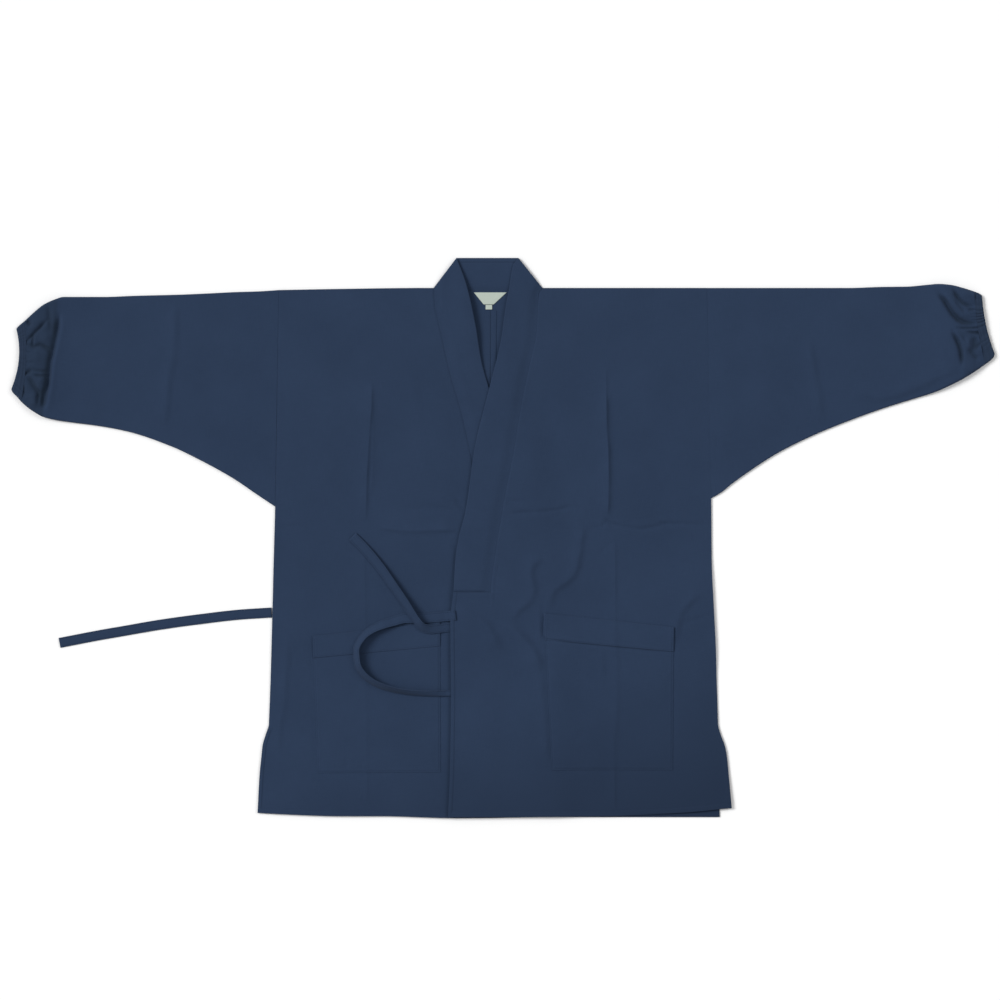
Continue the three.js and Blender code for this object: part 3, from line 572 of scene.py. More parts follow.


# The last tone is painted shade, for the cuffs' gathers and the depths of their folds.
cloth = cloth_material("indigo_cloth", (0.0182, 0.0335, 0.0695), (0.0232, 0.0418, 0.0850), 0.05,
                       shade_tone=(0.0105, 0.0195, 0.0345))
# The casing is the same cloth, made darker as painted shade for its gathers.
cuff_cloth = cloth_material("cuff_cloth", (0.0160, 0.0285, 0.0560), (0.0200, 0.0345, 0.0665), 0.05)
label_cloth = cloth_material("label_cloth", (0.40, 0.455, 0.405), (0.47, 0.53, 0.475), 0.05, 0.05)
thread = cloth_material("sewing_thread", (0.016, 0.029, 0.062), (0.021, 0.037, 0.077), 0.05, 0.02)
print("materials:", [m.name for m in (cloth, cuff_cloth, label_cloth, thread)])

# %% [markdown]
# ## Finishing a piece
# A finished sheet gets its material, rides on the one body of the jacket and stands in for its solid.

# %% Finish


def dress(piece, material, replaces=None):
    piece.data.materials.clear()
    piece.data.materials.append(material)
    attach(piece, "root")
    if replaces:
        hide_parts(replaces)
    triangles = sum(len(face.vertices) - 2 for face in piece.data.polygons)
    print(f"{piece.name}: {triangles} triangles")
    return piece


# %% [markdown]
# ## Stitches
# A lockstitch shows on the face as a row of short threads, each dipping into the cloth at its ends.
# One small spindle is the pattern, and it is repeated along each line of sewing, tilted with the
# cloth that it holds.

# %% Rows of stitches
STITCH_PITCH = 3.0
# Rings of one stitch: place along it, radius and height.
STITCH_RINGS = [(-1.25, 0.05, -0.25), (-0.6, 0.2, 0.02), (0.6, 0.2, 0.02), (1.25, 0.05, -0.25)]
STITCH_SIDES = 4


def close_ends(piece):
    """Fills the open ends of tubes and turns their faces outward."""
    bpy.ops.object.select_all(action="DESELECT")
    bpy.context.view_layer.objects.active = piece
    piece.select_set(True)
    bpy.ops.object.mode_set(mode="EDIT")
    bpy.ops.mesh.select_mode(type="EDGE")
    bpy.ops.mesh.select_all(action="DESELECT")
    bpy.ops.mesh.select_non_manifold()
    bpy.ops.mesh.fill_holes(sides=0)
    bpy.ops.mesh.select_all(action="SELECT")
    bpy.ops.mesh.normals_make_consistent(inside=False)
    bpy.ops.object.mode_set(mode="OBJECT")
    piece.select_set(False)


def on_surface(line, height):
    """A line of places laid on a surface: its points, and the upward direction at each."""
    line = np.array(line, float)
    run = np.concatenate([[0], np.cumsum(np.hypot(*np.diff(line, axis=0).T))])
    at = np.linspace(0, run[-1], max(3, round(run[-1])) + 1)
    across, down = [np.interp(at, run, column) for column in line.T]
    points = np.stack([across, down, height(across, down)], axis=-1)
    return points, np.tile([0.0, 0.0, 1.0], (len(points), 1))


def stitches_along(points, ups):
    """Middles, courses and upward directions of the stitches along one line."""
    run = np.concatenate([[0], np.cumsum(np.linalg.norm(np.diff(points, axis=0), axis=1))])
    at = np.arange(STITCH_PITCH / 2, run[-1], STITCH_PITCH)

    def read(rows, step=0.0):
        return np.stack([np.interp(at + step, run, column) for column in rows.T], axis=-1)

    course = read(points, 0.6) - read(points, -0.6)
    return read(points), course / np.linalg.norm(course, axis=1, keepdims=True), read(ups)


def stitch_rows(name, lines):
    """One mesh of all the stitches along some lines, each with its points and upward directions."""
    parts = [stitches_along(points, ups) for points, ups in lines]
    middle, course, up = [np.concatenate(part)[:, None, None] for part in zip(*parts)]
    aside = np.cross(up, course)
    along, radius, lift = np.array(STITCH_RINGS).T[:, None, :, None, None]
    turns = (2 * np.pi * (np.arange(STITCH_SIDES) + 0.5) / STITCH_SIDES)[:, None]
    points = middle + along * course + radius * np.cos(turns) * aside
    points = points + (lift + radius * np.sin(turns)) * up
    tube = grid_faces(len(STITCH_RINGS), STITCH_SIDES, around=True)
    first = np.arange(len(middle)) * len(STITCH_RINGS) * STITCH_SIDES
    faces = (first[:, None, None] + tube).reshape(-1, 4)
    piece = mesh_object(name, place(*np.moveaxis(points, -1, 0)), faces, points[..., :2])
    close_ends(piece)
    return dress(piece, thread)


# %% [markdown]
# ## Back
# The two back halves meet in the centre seam, whose allowance is pressed to one side and shows
# inside the neck. They lie lowest of all, flat on the table, and show only there and as a sliver
# below the front hem. A plain sheet is enough for them, finer at the neck.

# %% Back halves
BACK_HIGH = 1.2  # upper face of the back


def back_top(across, down):
    seam = stitch_groove(across - CENTRE_SEAM, 0.35, 1.0)
    neck = stitch_groove(down - NECKLINE(across), 0.25, 1.5)
    inside = bell(across - CENTRE_SEAM, 60) * smooth(down, 10, 60)
    return BACK_HIGH + seam + neck + 0.5 * inside * (swell(2 * across, 2 * down) - 0.5)


def build_back(side):
    sign = SIGN[side]
    neck_end = NECK_LEFT if side == "left" else -NECK_RIGHT
    near = spaced(sign * CENTRE_SEAM, neck_end, [(0, 0.7), (6, 1), (12, 2.6), (90, 3)])
    far = spaced(0, 245, [(0, 5), (70, 11), (220, 11), (245, 3)])[1:] / 245
    rows = spaced(0, HEM, [(0, 0.9), (8, 2.3), (138, 3.6), (230, 10), (740, 10), (757, 1), (767, 0.8)])
    rows = rows[:, None] / HEM
    side_out = BACK_SIDE[side](HEM * rows)
    out = np.concatenate([near + 0 * rows, mix(neck_end, side_out, far)], axis=1)
    across = sign * out
    top = np.where(out <= neck_end, NECKLINE(across), SHOULDER[side](out))
    down = mix(top, BACK_HEM[side](out), rows)
    hem = hem_ply(BACK_HEM[side](out) - down, 7)
    piece = sheet(f"back_{side}", across, down, back_top(across, down) + 0.2 * hem,
                  thickness=BACK_HIGH - 0.35 + 0.2 * hem)
    return dress(piece, cloth, f"back_{side}")


backs = {side: build_back(side) for side in SIGN}

# %% Seam allowance inside the neck
allow_down, allow_share = np.meshgrid(spaced(33, 175, [(33, 1), (40, 2.6), (175, 3)]),
                                      spaced(0, 1, [(0, 0.12), (0.5, 0.2), (1, 0.1)]), indexing="ij")
allow_across = CENTRE_SEAM + 0.7 + 7.6 * allow_share + 0.35 * np.sin(allow_down / 19) * allow_share
allow_top = back_top(CENTRE_SEAM + 8, allow_down) + 0.55 + 0.25 * np.sin(np.pi * allow_share)
allowance = sheet("back_seam_allowance", allow_across, allow_down, allow_top, thickness=0.5, rim=0.12)
dress(allowance, cloth)

# %% [markdown]
# ## Fronts
# A front runs from the collar seam to the side seam, and below the end of the band it reaches on past
# the centre to its own hemmed edge. The grid has a part for each, and leaves out the corner beside
# the band. One column follows the press line all the way down, so that it stays crisp. The height
# adds up all that shapes the cloth: what it lies on, its swells, its creases, the pull of its seams
# and the thickness of its hems.

# %% Height of a front
FRONT_HEM_WIDTH = 7
SIDE_HEM_WIDTH = 5
EDGE_HEM_WIDTH = 5.5
SLIT_TOP = 640
LOFT = 0.6  # how loosely a front lies on what is below it
SWELL = 1.2  # height of its broad swells
HEM_LIFT = 2.0  # how far the outer front's hem stands off the back at the side
FAR = 99  # distance to an edge that a place doesn't have


def front_edges(side, across, down):
    """Distances from places on a front to its edges."""
    out = SIGN[side] * across
    return {
        "side": SIDE_EDGE[side](down) - out,
        "shoulder": down - SHOULDER[side](out),
        "hem": FRONT_HEM[side](out) - down,
        "seam": np.where(down < COLLAR_END, out - COLLAR_SEAM[side](down), FAR),
        "edge": np.where(down >= COLLAR_END, out - FRONT_EDGE(down), FAR),
    }


def front_hems(side, across, down):
    """Extra thickness of a front's turned hems."""
    to = front_edges(side, across, down)
    slit = smooth(down, SLIT_TOP - 4, SLIT_TOP + 4)
    plies = [hem_ply(to["hem"], FRONT_HEM_WIDTH), hem_ply(to["edge"], EDGE_HEM_WIDTH),
             hem_ply(to["side"], SIDE_HEM_WIDTH) * slit]
    return HEM_STEP * np.maximum.reduce(plies)


def front_top(side, across, down):
    """Height of a front's upper face."""
    to = front_edges(side, across, down)
    rest = front_rest(side, across, down)
    floor = rest + PLY
    held = smooth(to["side"], 0, 40) * smooth(to["shoulder"], 0, 40) * smooth(to["seam"], 0, 30)
    if side == "right":
        held = held * smooth(-across, 45, 75)
    height = floor + LOFT * smooth(to["side"], 0, 30) * smooth(to["shoulder"], 0, 30)
    height += SWELL * swell(across, down) * held
    height += crease_relief(CREASES[side], across, down) * smooth(to["side"], -1, 5)
    height += stitch_groove(to["seam"], 0.5, 1.4) + stitch_groove(to["side"], 0.15, 2.5)
    height += stitch_groove(to["hem"] - FRONT_HEM_WIDTH) + stitch_groove(to["edge"] - EDGE_HEM_WIDTH)
    height += pucker(to["seam"], down) + pucker(to["hem"] - FRONT_HEM_WIDTH, across)
    height += pucker(to["edge"] - EDGE_HEM_WIDTH, down)
    height += front_hems(side, across, down) + 0.6 * bell(to["edge"], 9)
    height += HEM_LIFT * smooth(across, 150, 330) * bell(to["hem"], 40)
    return soft_floor(height, floor - 0.3 - 0.4 * (rest - ON_BACK), 0.12)


def front_plan(side):
    """Rows and columns of a front, as out and down, and which cells it has."""
    lap = spaced(0, 57, [(0, 0.6), (7, 0.8), (12, 3), (50, 3), (57, 1.3)]) / 57
    near = spaced(0, 170, [(0, 0.9), (5, 1.2), (12, 2.9), (152, 2.9), (163, 1.2), (170, 0.8)]) / 170
    far = spaced(0, 150, [(0, 0.8), (7, 1.2), (16, 3.2), (138, 3.2), (144, 0.8), (150, 0.6)]) / 150
    upper = spaced(0, COLLAR_END, [(0, 0.8), (5, 1.2), (12, 3.8), (290, 3.8), (306, 1.8), (356, 1.8),
                                   (366, 2.4), (434, 2.4), (441, 1)]) / COLLAR_END
    lower = spaced(0, 326, [(0, 1), (6, 2.4), (85, 2.5), (120, 3.8), (308, 3.8), (317, 0.9),
                            (326, 0.6)])[1:] / 326
    seam_at, press_at = len(lap), len(lap) + len(near) - 1
    upper_share = np.concatenate([upper, np.ones(len(lower))])[:, None]
    lower_share = np.concatenate([np.zeros(len(upper)), lower])[:, None]
    down = COLLAR_END * upper_share + (HEM - COLLAR_END) * lower_share
    down = down + np.zeros(press_at + len(far) - 1)
    is_upper = np.arange(len(upper_share))[:, None] < len(upper)
    for _ in range(4):
        seam, press, edge = COLLAR_SEAM[side](down), PRESS_LINE[side](down), SIDE_EDGE[side](down)
        out = np.concatenate([
            mix(FRONT_EDGE(down)[:, :seam_at], seam[:, :seam_at], lap),
            mix(seam[:, seam_at:press_at], press[:, seam_at:press_at], near[1:]),
            mix(press[:, press_at:], edge[:, press_at:], far[1:]),
        ], axis=1)
        high = mix(SHOULDER[side](out), COLLAR_END, upper_share)
        low = mix(COLLAR_END, FRONT_HEM[side](out), lower_share)
        down = np.where(is_upper, high, low)
    has = np.ones((out.shape[0] - 1, out.shape[1] - 1), bool)
    has[: len(upper) - 1, : seam_at - 1] = False
    return out, down, has


# %% Fronts
def build_front(side):
    out, down, has = front_plan(side)
    across = SIGN[side] * out
    piece = sheet(f"front_{side}", across, down, front_top(side, across, down), has=has,
                  thickness=PLY + front_hems(side, across, down))
    return dress(piece, cloth, f"front_{side}")


fronts = {side: build_front(side) for side in SIGN}

# %% [markdown]
# ## Collar
# One long doubled band runs round the neck and down both fronts, its raw edges inside and its fold
# toward the neck. Its outer edge is drawn down to the front by the seam, and its fold stays round and
# full. On the wearer's right it stands up from the back beside the neck, because nothing holds it
# there. Here it is three sheets: one behind the neck, which shows its inside, and one down each
# front from the slanted fold on the shoulder.

# %% Collar band
# How far the fold of the band runs ahead of its seam, and how high the right band stands up.
BAND_LAG = curve([(0, COLLAR_RISE), (60, 13), (300, 10), (COLLAR_END, 0)])
BAND_LIFT = curve([(-44, 1.5), (-7, 3.8), (17, 5.6), (54, 6), (90, 2.8), (105, 1.7), (130, 0.4), (145, 0),
                   (200, 0)])
BAND_CREASES = [
    Crease(-0.5, 3, 3, 1.5, [(-60, 318), (-20, 323), (10, 325)]),
    Crease(0.6, 14, 14, 2, [(-30, 180), (0, 240)]),
    Crease(0.4, 5, 4, 1.6, [(-62, 345), (0, 349)]),
]


def round_edge(away):
    """Share of the full thickness near a folded edge."""
    return np.sqrt(1 - (1 - np.clip(away / 1.2, 0.08, 1)) ** 2)


def band_faces(side, across, down):
    """Heights of a front band's upper and lower faces."""
    out = SIGN[side] * across
    to_seam = COLLAR_SEAM[side](down) - out
    to_free = out - FREE_EDGE[side](down)
    to_end = COLLAR_END - down
    low = front_rest(side, across, down) + 1.2 * (1 - smooth(down, 15, 60)) * smooth(to_seam, 0, 12)
    if side == "right":
        low = low + BAND_LIFT(down) * smooth(to_seam, 4, 48) ** 1.3
    full = BAND + 0.4 * smooth(np.minimum(to_seam, to_free), 0, 14)
    full += 0.8 * (swell(across * 1.4, down * 1.4) - 0.5) * smooth(to_free, 0, 8)
    sewn = smooth(to_seam, -0.5, 17) * smooth(to_end, -0.5, 4)
    half = mix(PLY + 0.1, full, sewn) / 2
    fold = round_edge(to_free)
    top = low + half * (1 + fold) + crease_relief(BAND_CREASES, across, down) * smooth(to_free, 0, 4)
    top += pucker(to_seam, down)
    return top, np.minimum(low + half * (1 - fold), top - 0.3)


def build_band(side):
    rows = spaced(0, COLLAR_END, [(0, 0.3), (2, 0.8), (8, 2.8), (425, 2.8), (433, 1), (441, 0.7)])[:, None]
    columns = spaced(0, 50, [(0, 0.15), (1.2, 0.4), (3, 1.4), (8, 2.6), (38, 2.6), (44, 1.2), (50, 0.8)]) / 50
    free_down = rows - BAND_LAG(rows)
    out = mix(FREE_EDGE[side](free_down), COLLAR_SEAM[side](rows), columns)
    down = mix(free_down, rows, columns)
    across = SIGN[side] * out
    top, low = band_faces(side, across, down)
    middle, half = (top + low) / 2, (top - low) / 2 * round_edge(rows)
    flat = np.stack(np.broadcast_arrays(50 * columns, 1.04 * rows), axis=-1)
    piece = sheet(f"collar_{side}", across, down, middle + half, thickness=2 * half, flat=flat, rim=0.12)
    return dress(piece, cloth, f"collar_{side}")


def build_back_band():
    columns = spaced(0, 154, [(0, 1), (6, 2.8), (148, 2.8), (154, 1)]) / 154
    rows = spaced(0, 48, [(0, 0.15), (1.2, 0.5), (3, 0.7), (9, 0.8), (12, 2.6), (40, 2.6), (48, 0.8)])
    rows = rows[:, None] / 48
    seam = mix(NECK_RIGHT, NECK_LEFT, columns)
    across = mix(mix(-53, 36.5, columns), seam, rows)
    down = mix(-COLLAR_RISE, NECKLINE(seam), rows)
    from_fold = down + COLLAR_RISE
    half = mix(1.3, BAND, smooth(NECKLINE(seam) - down, 0, 7)) / 2
    fold = round_edge(from_fold)
    ridge = 0.35 * bell(from_fold - 4.6, 1.6) + stitch_groove(from_fold - 7, 0.35, 0.9)
    top = half * (1 + fold) + ridge
    top += 0.5 * (swell(across * 2, down * 2) - 0.5) * smooth(from_fold, 2, 12)
    low = np.minimum(0.1 + half * (1 - fold), top - 0.3)
    flat = np.stack([154 * columns + 0 * down, down], axis=-1)
    piece = sheet("collar_back", across, down, top, thickness=top - low, flat=flat, rim=0.12)
    return dress(piece, cloth, "collar_back")


bands = {side: build_band(side) for side in SIGN}
back_band = build_back_band()

# %% [markdown]
# ## Sleeves
# A sleeve is a flattened tube: folded along its top, sewn along its lower edge, open at the
# armhole. Rings of points run over the top layer and back under it, from the armhole to the cuff, and
# the ring closes on itself. Toward the cuff the elastic draws the cloth into puffs with deep folds
# between them, and each fold is placed from its own few points.

# %% Sections and folds of the sleeves
Section = namedtuple("Section", "top_out top_down low_out low_down height bow")

SLEEVE_SECTIONS = {
    "left": [
        (310, 0, 316, 305, 2.25, 0), (328, 0, 330, 297, 2.7, 0), (344, 0, 346, 284, 3, 0),
        (372, 0, 374, 264, 3.2, 0), (410, 0, 413, 239, 3.3, 0), (444, 0, 470, 211, 3.3, 0),
        (515, 0, 525, 189, 3.4, 0), (562, -1.5, 570, 173, 3.6, 0), (600, -2, 612, 160, 4, 0),
        (628, -4.4, 642, 150.5, 6, 0), (646, -5.8, 660, 142.5, 8, 0),
        (663, -4.4, 680, 132.5, 8.6, 1), (681, 0, 698, 121.5, 8, 2), (697, 5, 713, 111, 6, 3)],
    "right": [
        (311, 3, 316, 317, 2.25, 0), (340, 4.9, 343, 299, 2.9, 0), (375, 6, 377, 276, 3.2, 0),
        (415, 8, 420, 252, 3.3, 0), (452, 9.6, 468, 229, 3.3, 0), (520, 11.4, 530, 208, 3.4, 0),
        (565, 13, 575, 199.5, 3.6, 0), (600, 13, 610, 195, 4.6, 0), (622, 13, 634, 191.5, 6.6, 0),
        (636, 17, 652, 187, 8.4, 0), (651, 24, 665, 180, 8.2, 1), (666, 36, 675, 173, 7.4, 3),
        (679, 48, 684, 165, 6, 5)],
}
CASING_SECTIONS = {
    "left": [(697, 5, 713, 111, 6, 3), (702, 7, 720, 106, 5.8, 3.4), (706, 9, 726, 99.5, 5.4, 3.6),
             (708.5, 11, 727, 96, 4, 3.6)],
    "right": [(679, 48, 684, 165, 6, 5), (684, 52, 690, 158, 5.8, 6),
              (689, 56.5, 697, 150.5, 5.4, 7), (691, 59, 698.4, 147, 4, 7.4)],
}
LEFT_SLEEVE_CREASES = [
    Crease(2.0, 3, 9, 1.4, [(457.5, 72), (460, 90), (465, 115), (471, 150), (477, 198)]),
    Crease(1.7, 12, 6, 2, [(520, 140), (540, 154), (560, 160), (590, 152), (617, 142), (650, 125),
                          (679, 114)]),
    Crease(-0.5, 8, 8, 2, [(530, 160), (562, 170)]),
    Crease(-0.6, 3.5, 3.5, 1.6, [(324, 205), (325, 260)]),
    Crease(0.6, 18, 18, 2, [(380, 40), (395, 120), (385, 200)]),
    Crease(-0.5, 20, 20, 2, [(430, 60), (500, 90), (590, 70)]),
    Crease(-6.1, 3.8, 4.3, 1.6, [(641, 3), (649, 13), (654.7, 19), (660.5, 29), (666.3, 38),
                                 (674, 45.5), (681, 49.5), (689.5, 51.5), (697, 51), (705, 43)]),
    Crease(-4.9, 3.0, 3.5, 1.6, [(665, -1), (670.6, 10), (675, 16), (681, 22), (686.6, 25),
                                 (692.4, 27), (700, 26)]),
    Crease(-2.6, 3.0, 3.0, 1.6, [(667.8, 17), (673.5, 23), (679.3, 30.5), (686, 37)]),
    Crease(-2.5, 2.4, 2.4, 1.6, [(688, 32), (699, 32)]),
    Crease(-3.2, 2.0, 2.0, 1.5, [(667, 58.7), (685, 58.7), (699.6, 58.4), (714, 58.4)]),
    Crease(-4.6, 2.3, 3.2, 1.5, [(684, 63), (690, 64), (696, 65), (703, 65), (709, 61)]),
    Crease(-5.2, 2.7, 4.1, 1.6, [(663, 58), (667.8, 68), (672, 75.4), (675, 82.7), (677.9, 93),
                             (679.3, 104.4), (679.3, 118)]),
    Crease(-3.2, 6.1, 6.1, 1.8, [(696, 69), (698, 80), (697, 95)]),
    Crease(-2.6, 2.7, 2.7, 1.6, [(699, 87), (707, 81), (714, 78)]),
    Crease(-3.2, 4.3, 4.3, 1.8, [(688, 88), (695.3, 96), (704, 106)]),
    Crease(-1.6, 1.7, 1.7, 1.6, [(679.5, 69), (687.5, 81)]),
    Crease(1.8, 5, 5, 2, [(656, 6), (668, 24), (680, 38), (702, 39)]),
    Crease(1.6, 6, 6, 2, [(676, 6), (704, 15)]),
    Crease(1.5, 5, 5, 2, [(686, 74), (690, 90)]),
    Crease(1.8, 6, 6, 2, [(708, 78), (716, 97)]),
    Crease(1.5, 8, 8, 2, [(676, 122), (700, 112)]),
]
RIGHT_SLEEVE_CREASES = [
    Crease(1.8, 3, 9, 1.4, [(-460, 18), (-461, 90), (-470.5, 136), (-476, 206)]),
    Crease(-0.5, 14, 14, 2, [(-562, 162), (-560, 190)]),
    Crease(0.6, 18, 18, 2, [(-380, 60), (-390, 140), (-385, 220)]),
    Crease(-0.5, 22, 22, 2, [(-440, 60), (-520, 90), (-600, 80)]),
    Crease(-6.8, 3.2, 6, 1.5, [(-627, 34), (-630, 54), (-632, 68), (-635, 83), (-637.5, 94),
                               (-641, 107), (-643, 126), (-645, 141), (-648, 155), (-651, 176)]),
    Crease(-2.9, 4.1, 4.1, 1.7, [(-644.5, 20), (-643, 39), (-641.7, 53.7), (-641, 70)]),
    Crease(-3.8, 2.4, 3.0, 1.5, [(-642, 43), (-656, 58), (-666, 68), (-676.4, 78.3), (-682, 84)]),
    Crease(-2.6, 2.2, 2.2, 1.6, [(-666.7, 68), (-666.7, 86)]),
    Crease(-4.3, 3.0, 3.5, 1.6, [(-682, 79), (-670.6, 83.4), (-664.8, 85.6), (-656, 82.7),
                                 (-650.3, 84.8), (-644.5, 88.5), (-637, 96)]),
    Crease(-1.4, 2, 2, 1.7, [(-680, 94), (-668, 94)]),
    Crease(-1.7, 2, 2.4, 1.7, [(-682, 106), (-672, 108), (-664, 109)]),
    Crease(-3.2, 2.4, 2.4, 1.5, [(-672, 118.5), (-659, 120.4), (-642, 121.8)]),
    Crease(-3.5, 3.2, 3.2, 1.6, [(-683, 126), (-675, 123), (-668, 120)]),
    Crease(-3.2, 2.4, 2.4, 1.5, [(-668, 126), (-656, 127.6), (-641, 127.6)]),
    Crease(-4.9, 4.1, 4.1, 1.6, [(-677, 125), (-669.2, 135), (-663.4, 145), (-657.6, 152.3),
                             (-656, 162)]),
    Crease(-2.9, 2.4, 2.4, 1.6, [(-659.5, 152), (-659, 170)]),
    Crease(-4.3, 4.7, 4.1, 1.7, [(-651, 147), (-652.5, 176)]),
    Crease(-2.9, 2.7, 2.7, 1.6, [(-680.5, 137), (-679.3, 161)]),
    Crease(-2.2, 1.8, 1.8, 1.6, [(-686, 146), (-683, 160)]),
    Crease(-3.8, 3.5, 3.5, 1.7, [(-675, 47), (-670, 56)]),
    Crease(2.2, 9, 9, 2, [(-655, 98), (-675, 108)]),
    Crease(2.0, 8, 8, 2, [(-654, 40), (-672, 64)]),
    Crease(1.8, 7, 7, 2, [(-646, 66), (-652, 78)]),
    Crease(1.8, 8, 8, 2, [(-660, 136), (-648, 140)]),
    Crease(2.2, 6, 6, 2, [(-668, 150), (-664, 174)]),
]
SLEEVE_CREASES = {"left": LEFT_SLEEVE_CREASES, "right": RIGHT_SLEEVE_CREASES}
print("sleeves:", len(LEFT_SLEEVE_CREASES), "and", len(RIGHT_SLEEVE_CREASES), "creases and folds")

# %% Flattened tubes
GATHERS = 14  # ruffles over one face of a cuff
GATHER_PHASES = {side: np.random.default_rng(seed).uniform(-3, 3, size=4)
                 for side, seed in (("left", 11), ("right", 12))}
NEAR_END = 0.25  # how near its open end a tube has its last ring, so that the end looks crisp
WALL = 0.7  # thickness of a tube's cloth
# How tight the gathers are, over shares of the cuff's width from its top.
GATHER_TIGHT = {
    "left": curve([(0, 0.3), (0.12, 1), (0.5, 1), (0.62, 0.35), (1, 0.3)]),
    "right": curve([(0, 0.2), (0.35, 0.4), (0.6, 1), (0.8, 0.9), (1, 0.4)]),
}


def ruffles(side, share):
    """Small uneven gathers over a cuff, from 0 to about 1, tightest where the elastic pulls most."""
    a, b, c, d = GATHER_PHASES[side]
    tight = GATHER_TIGHT[side](share)
    bend = 0.05 * np.sin(7 * share + a) + 0.03 * np.sin(17 * share + b)
    size = 0.65 + 0.35 * np.sin(11 * share + c) * np.sin(5 * share + d)
    return tight * size * np.abs(np.sin(np.pi * GATHERS * (share + bend)))


def fine_sections(sections, spacing):
    """Sections close together, through the given ones, and the run along them."""
    rows = np.array(sections, float)
    middle = np.stack([(rows[:, 0] + rows[:, 2]) / 2, (rows[:, 1] + rows[:, 3]) / 2], axis=-1)
    run = np.concatenate([[0], np.cumsum(np.hypot(*np.diff(middle, axis=0).T))])
    at = spaced(0, run[-1], [(run[-1] - before, step) for before, step in spacing])
    at = np.concatenate([[0, NEAR_END], at[1:-1], [at[-1] - NEAR_END, at[-1]]])
    return Section(*[curve(list(zip(run, column)))(at)[:, None] for column in rows.T]), at[:, None]


def flat_tube(name, side, sections, run, over, under, relief):
    """A flattened tube through sections, open at both ends. Its ring goes over and back under."""
    width = np.hypot(sections.low_out - sections.top_out, sections.low_down - sections.top_down)
    share = np.concatenate([over, under[::-1][1:-1]])[None]
    is_over = np.concatenate([np.ones(len(over), bool), np.zeros(len(under) - 2, bool)])[None]
    edge = np.minimum(share, 1 - share) * width
    radius = sections.height / 2
    turn = np.sqrt(np.clip(1 - (1 - np.clip(edge / radius, 0, 1)) ** 2, 0, 1))
    out = mix(sections.top_out, sections.low_out, share) - sections.bow * 4 * share * (1 - share)
    down = mix(sections.top_down, sections.low_down, share)
    across = SIGN[side] * out
    below = radius - radius * turn
    rise = relief(across, down, share, edge, run) * smooth(edge, 0, 5)
    top = soft_floor(radius + radius * turn + rise, below + (2 * WALL + 0.3) * turn, 0.3 * turn + 1e-6)
    height = np.where(is_over, top, below)
    faces = grid_faces(*height.shape, around=True)
    points = place(across, down, height)
    middle = len(over) // 2
    corner, beyond, beside = points[0, middle], points[1, middle], points[0, middle + 1]
    if np.cross(beyond - corner, beside - corner)[2] < 0:
        faces = faces[:, ::-1]
    flat = np.stack([out, np.where(is_over, down, -down)], axis=-1)
    return mesh_object(name, points, faces, flat)


def give_wall(piece):
    """Gives a tube its cloth wall, inward."""
    wall = piece.modifiers.new("cloth wall", "SOLIDIFY")
    wall.thickness = WALL * MM
    wall.offset = -1
    apply_modifiers(piece)


# %% Sleeves
# Where the painted shade of the sleeve's gathers starts: down the sleeve, and out.
GATHER_SHADE_START = {
    "left": curve([(-10, 648), (50, 668), (80, 672), (140, 684)]),
    "right": curve([(0, 628), (54, 630), (83, 635), (107, 641), (141, 645), (200, 652)]),
}
GATHER_SHADE = {"left": 0.12, "right": 0.42}  # how much painted shade darkens the sleeve's gathers
FOLD_SHADE = {"left": 0.5, "right": 0.34}  # how much more painted shade the depth of its folds adds


def build_sleeve(side):
    sections, run = fine_sections(SLEEVE_SECTIONS[side], [(400, 4.2), (95, 4), (75, 1.3), (0, 0.9)])
    over = spaced(0, 200, [(0, 0.1), (0.6, 0.25), (2, 0.8), (6, 1.6), (12, 2.2), (188, 2.2), (194, 1.6),
                           (198, 0.8), (199.4, 0.25), (200, 0.1)]) / 200
    under = spaced(0, 200, [(0, 0.4), (3, 2), (12, 9), (188, 9), (197, 2), (200, 0.4)]) / 200

    def relief(across, down, share, edge, along):
        near_cuff = smooth(along, along.max() - 14, along.max())
        lie = 1.1 * (swell(across, down) - 0.3) * smooth(edge, 2, 40) * smooth(along, 0, 30)
        lie = lie + stitch_groove(along, 0.15, 2.5) + 1.2 * ruffles(side, share) * near_cuff
        return lie + crease_relief(SLEEVE_CREASES[side], across, down, rims=0.22)

    piece = flat_tube(f"sleeve_{side}", side, sections, run, over, under, relief)
    give_wall(piece)
    points = np.empty(3 * len(piece.data.vertices))
    piece.data.vertices.foreach_get("co", points)
    out = SIGN[side] * (points[::3] / MM - CENTRE_X)
    down = SHOULDER_Y - points[1::3] / MM
    # Painted shade, kept in the attribute: darker where the elastic draws the sleeve in, and darker still in
    # the depths of its folds.
    shade_tone = GATHER_SHADE[side] * smooth(out - GATHER_SHADE_START[side](down), -1, 5)
    depth = -crease_relief(SLEEVE_CREASES[side], SIGN[side] * out, down, rims=0)
    shade_tone += FOLD_SHADE[side] * smooth(depth, 0.8, 4.5)
    piece.data.attributes.new(SHADE_ATTRIBUTE, "FLOAT", "POINT").data.foreach_set("value", shade_tone)
    return dress(piece, cloth, f"sleeve_{side}")


sleeves = {side: build_sleeve(side) for side in SIGN}

# %% [markdown]
# ## Cuffs
# The sleeve's end is turned into a casing round the elastic. Two rows of stitching hold it, and the
# cloth between them and beyond stands up in small uneven ruffles.

# %% Cuffs


def build_cuff(side):
    sections, run = fine_sections(CASING_SECTIONS[side], [(20, 0.8), (0, 0.8)])
    over = np.linspace(0, 1, GATHERS * 12 + 1)
    under = np.linspace(0, 1, GATHERS * 4 + 1)

    def relief(across, down, share, edge, along):
        sewn = bell(along - 3.5, 1.0) + bell(along - 8.5, 1.0)
        return (1.2 + 0.7 * smooth(along, 0, 4)) * ruffles(side, share) - 0.4 * sewn

    piece = flat_tube(f"cuff_{side}", side, sections, run, over, under, relief)
    give_wall(piece)
    # The casing gets the darker copy of the cloth, painted shade for its gathers.
    return dress(piece, cuff_cloth, f"cuff_{side}")


cuffs = {side: build_cuff(side) for side in SIGN}

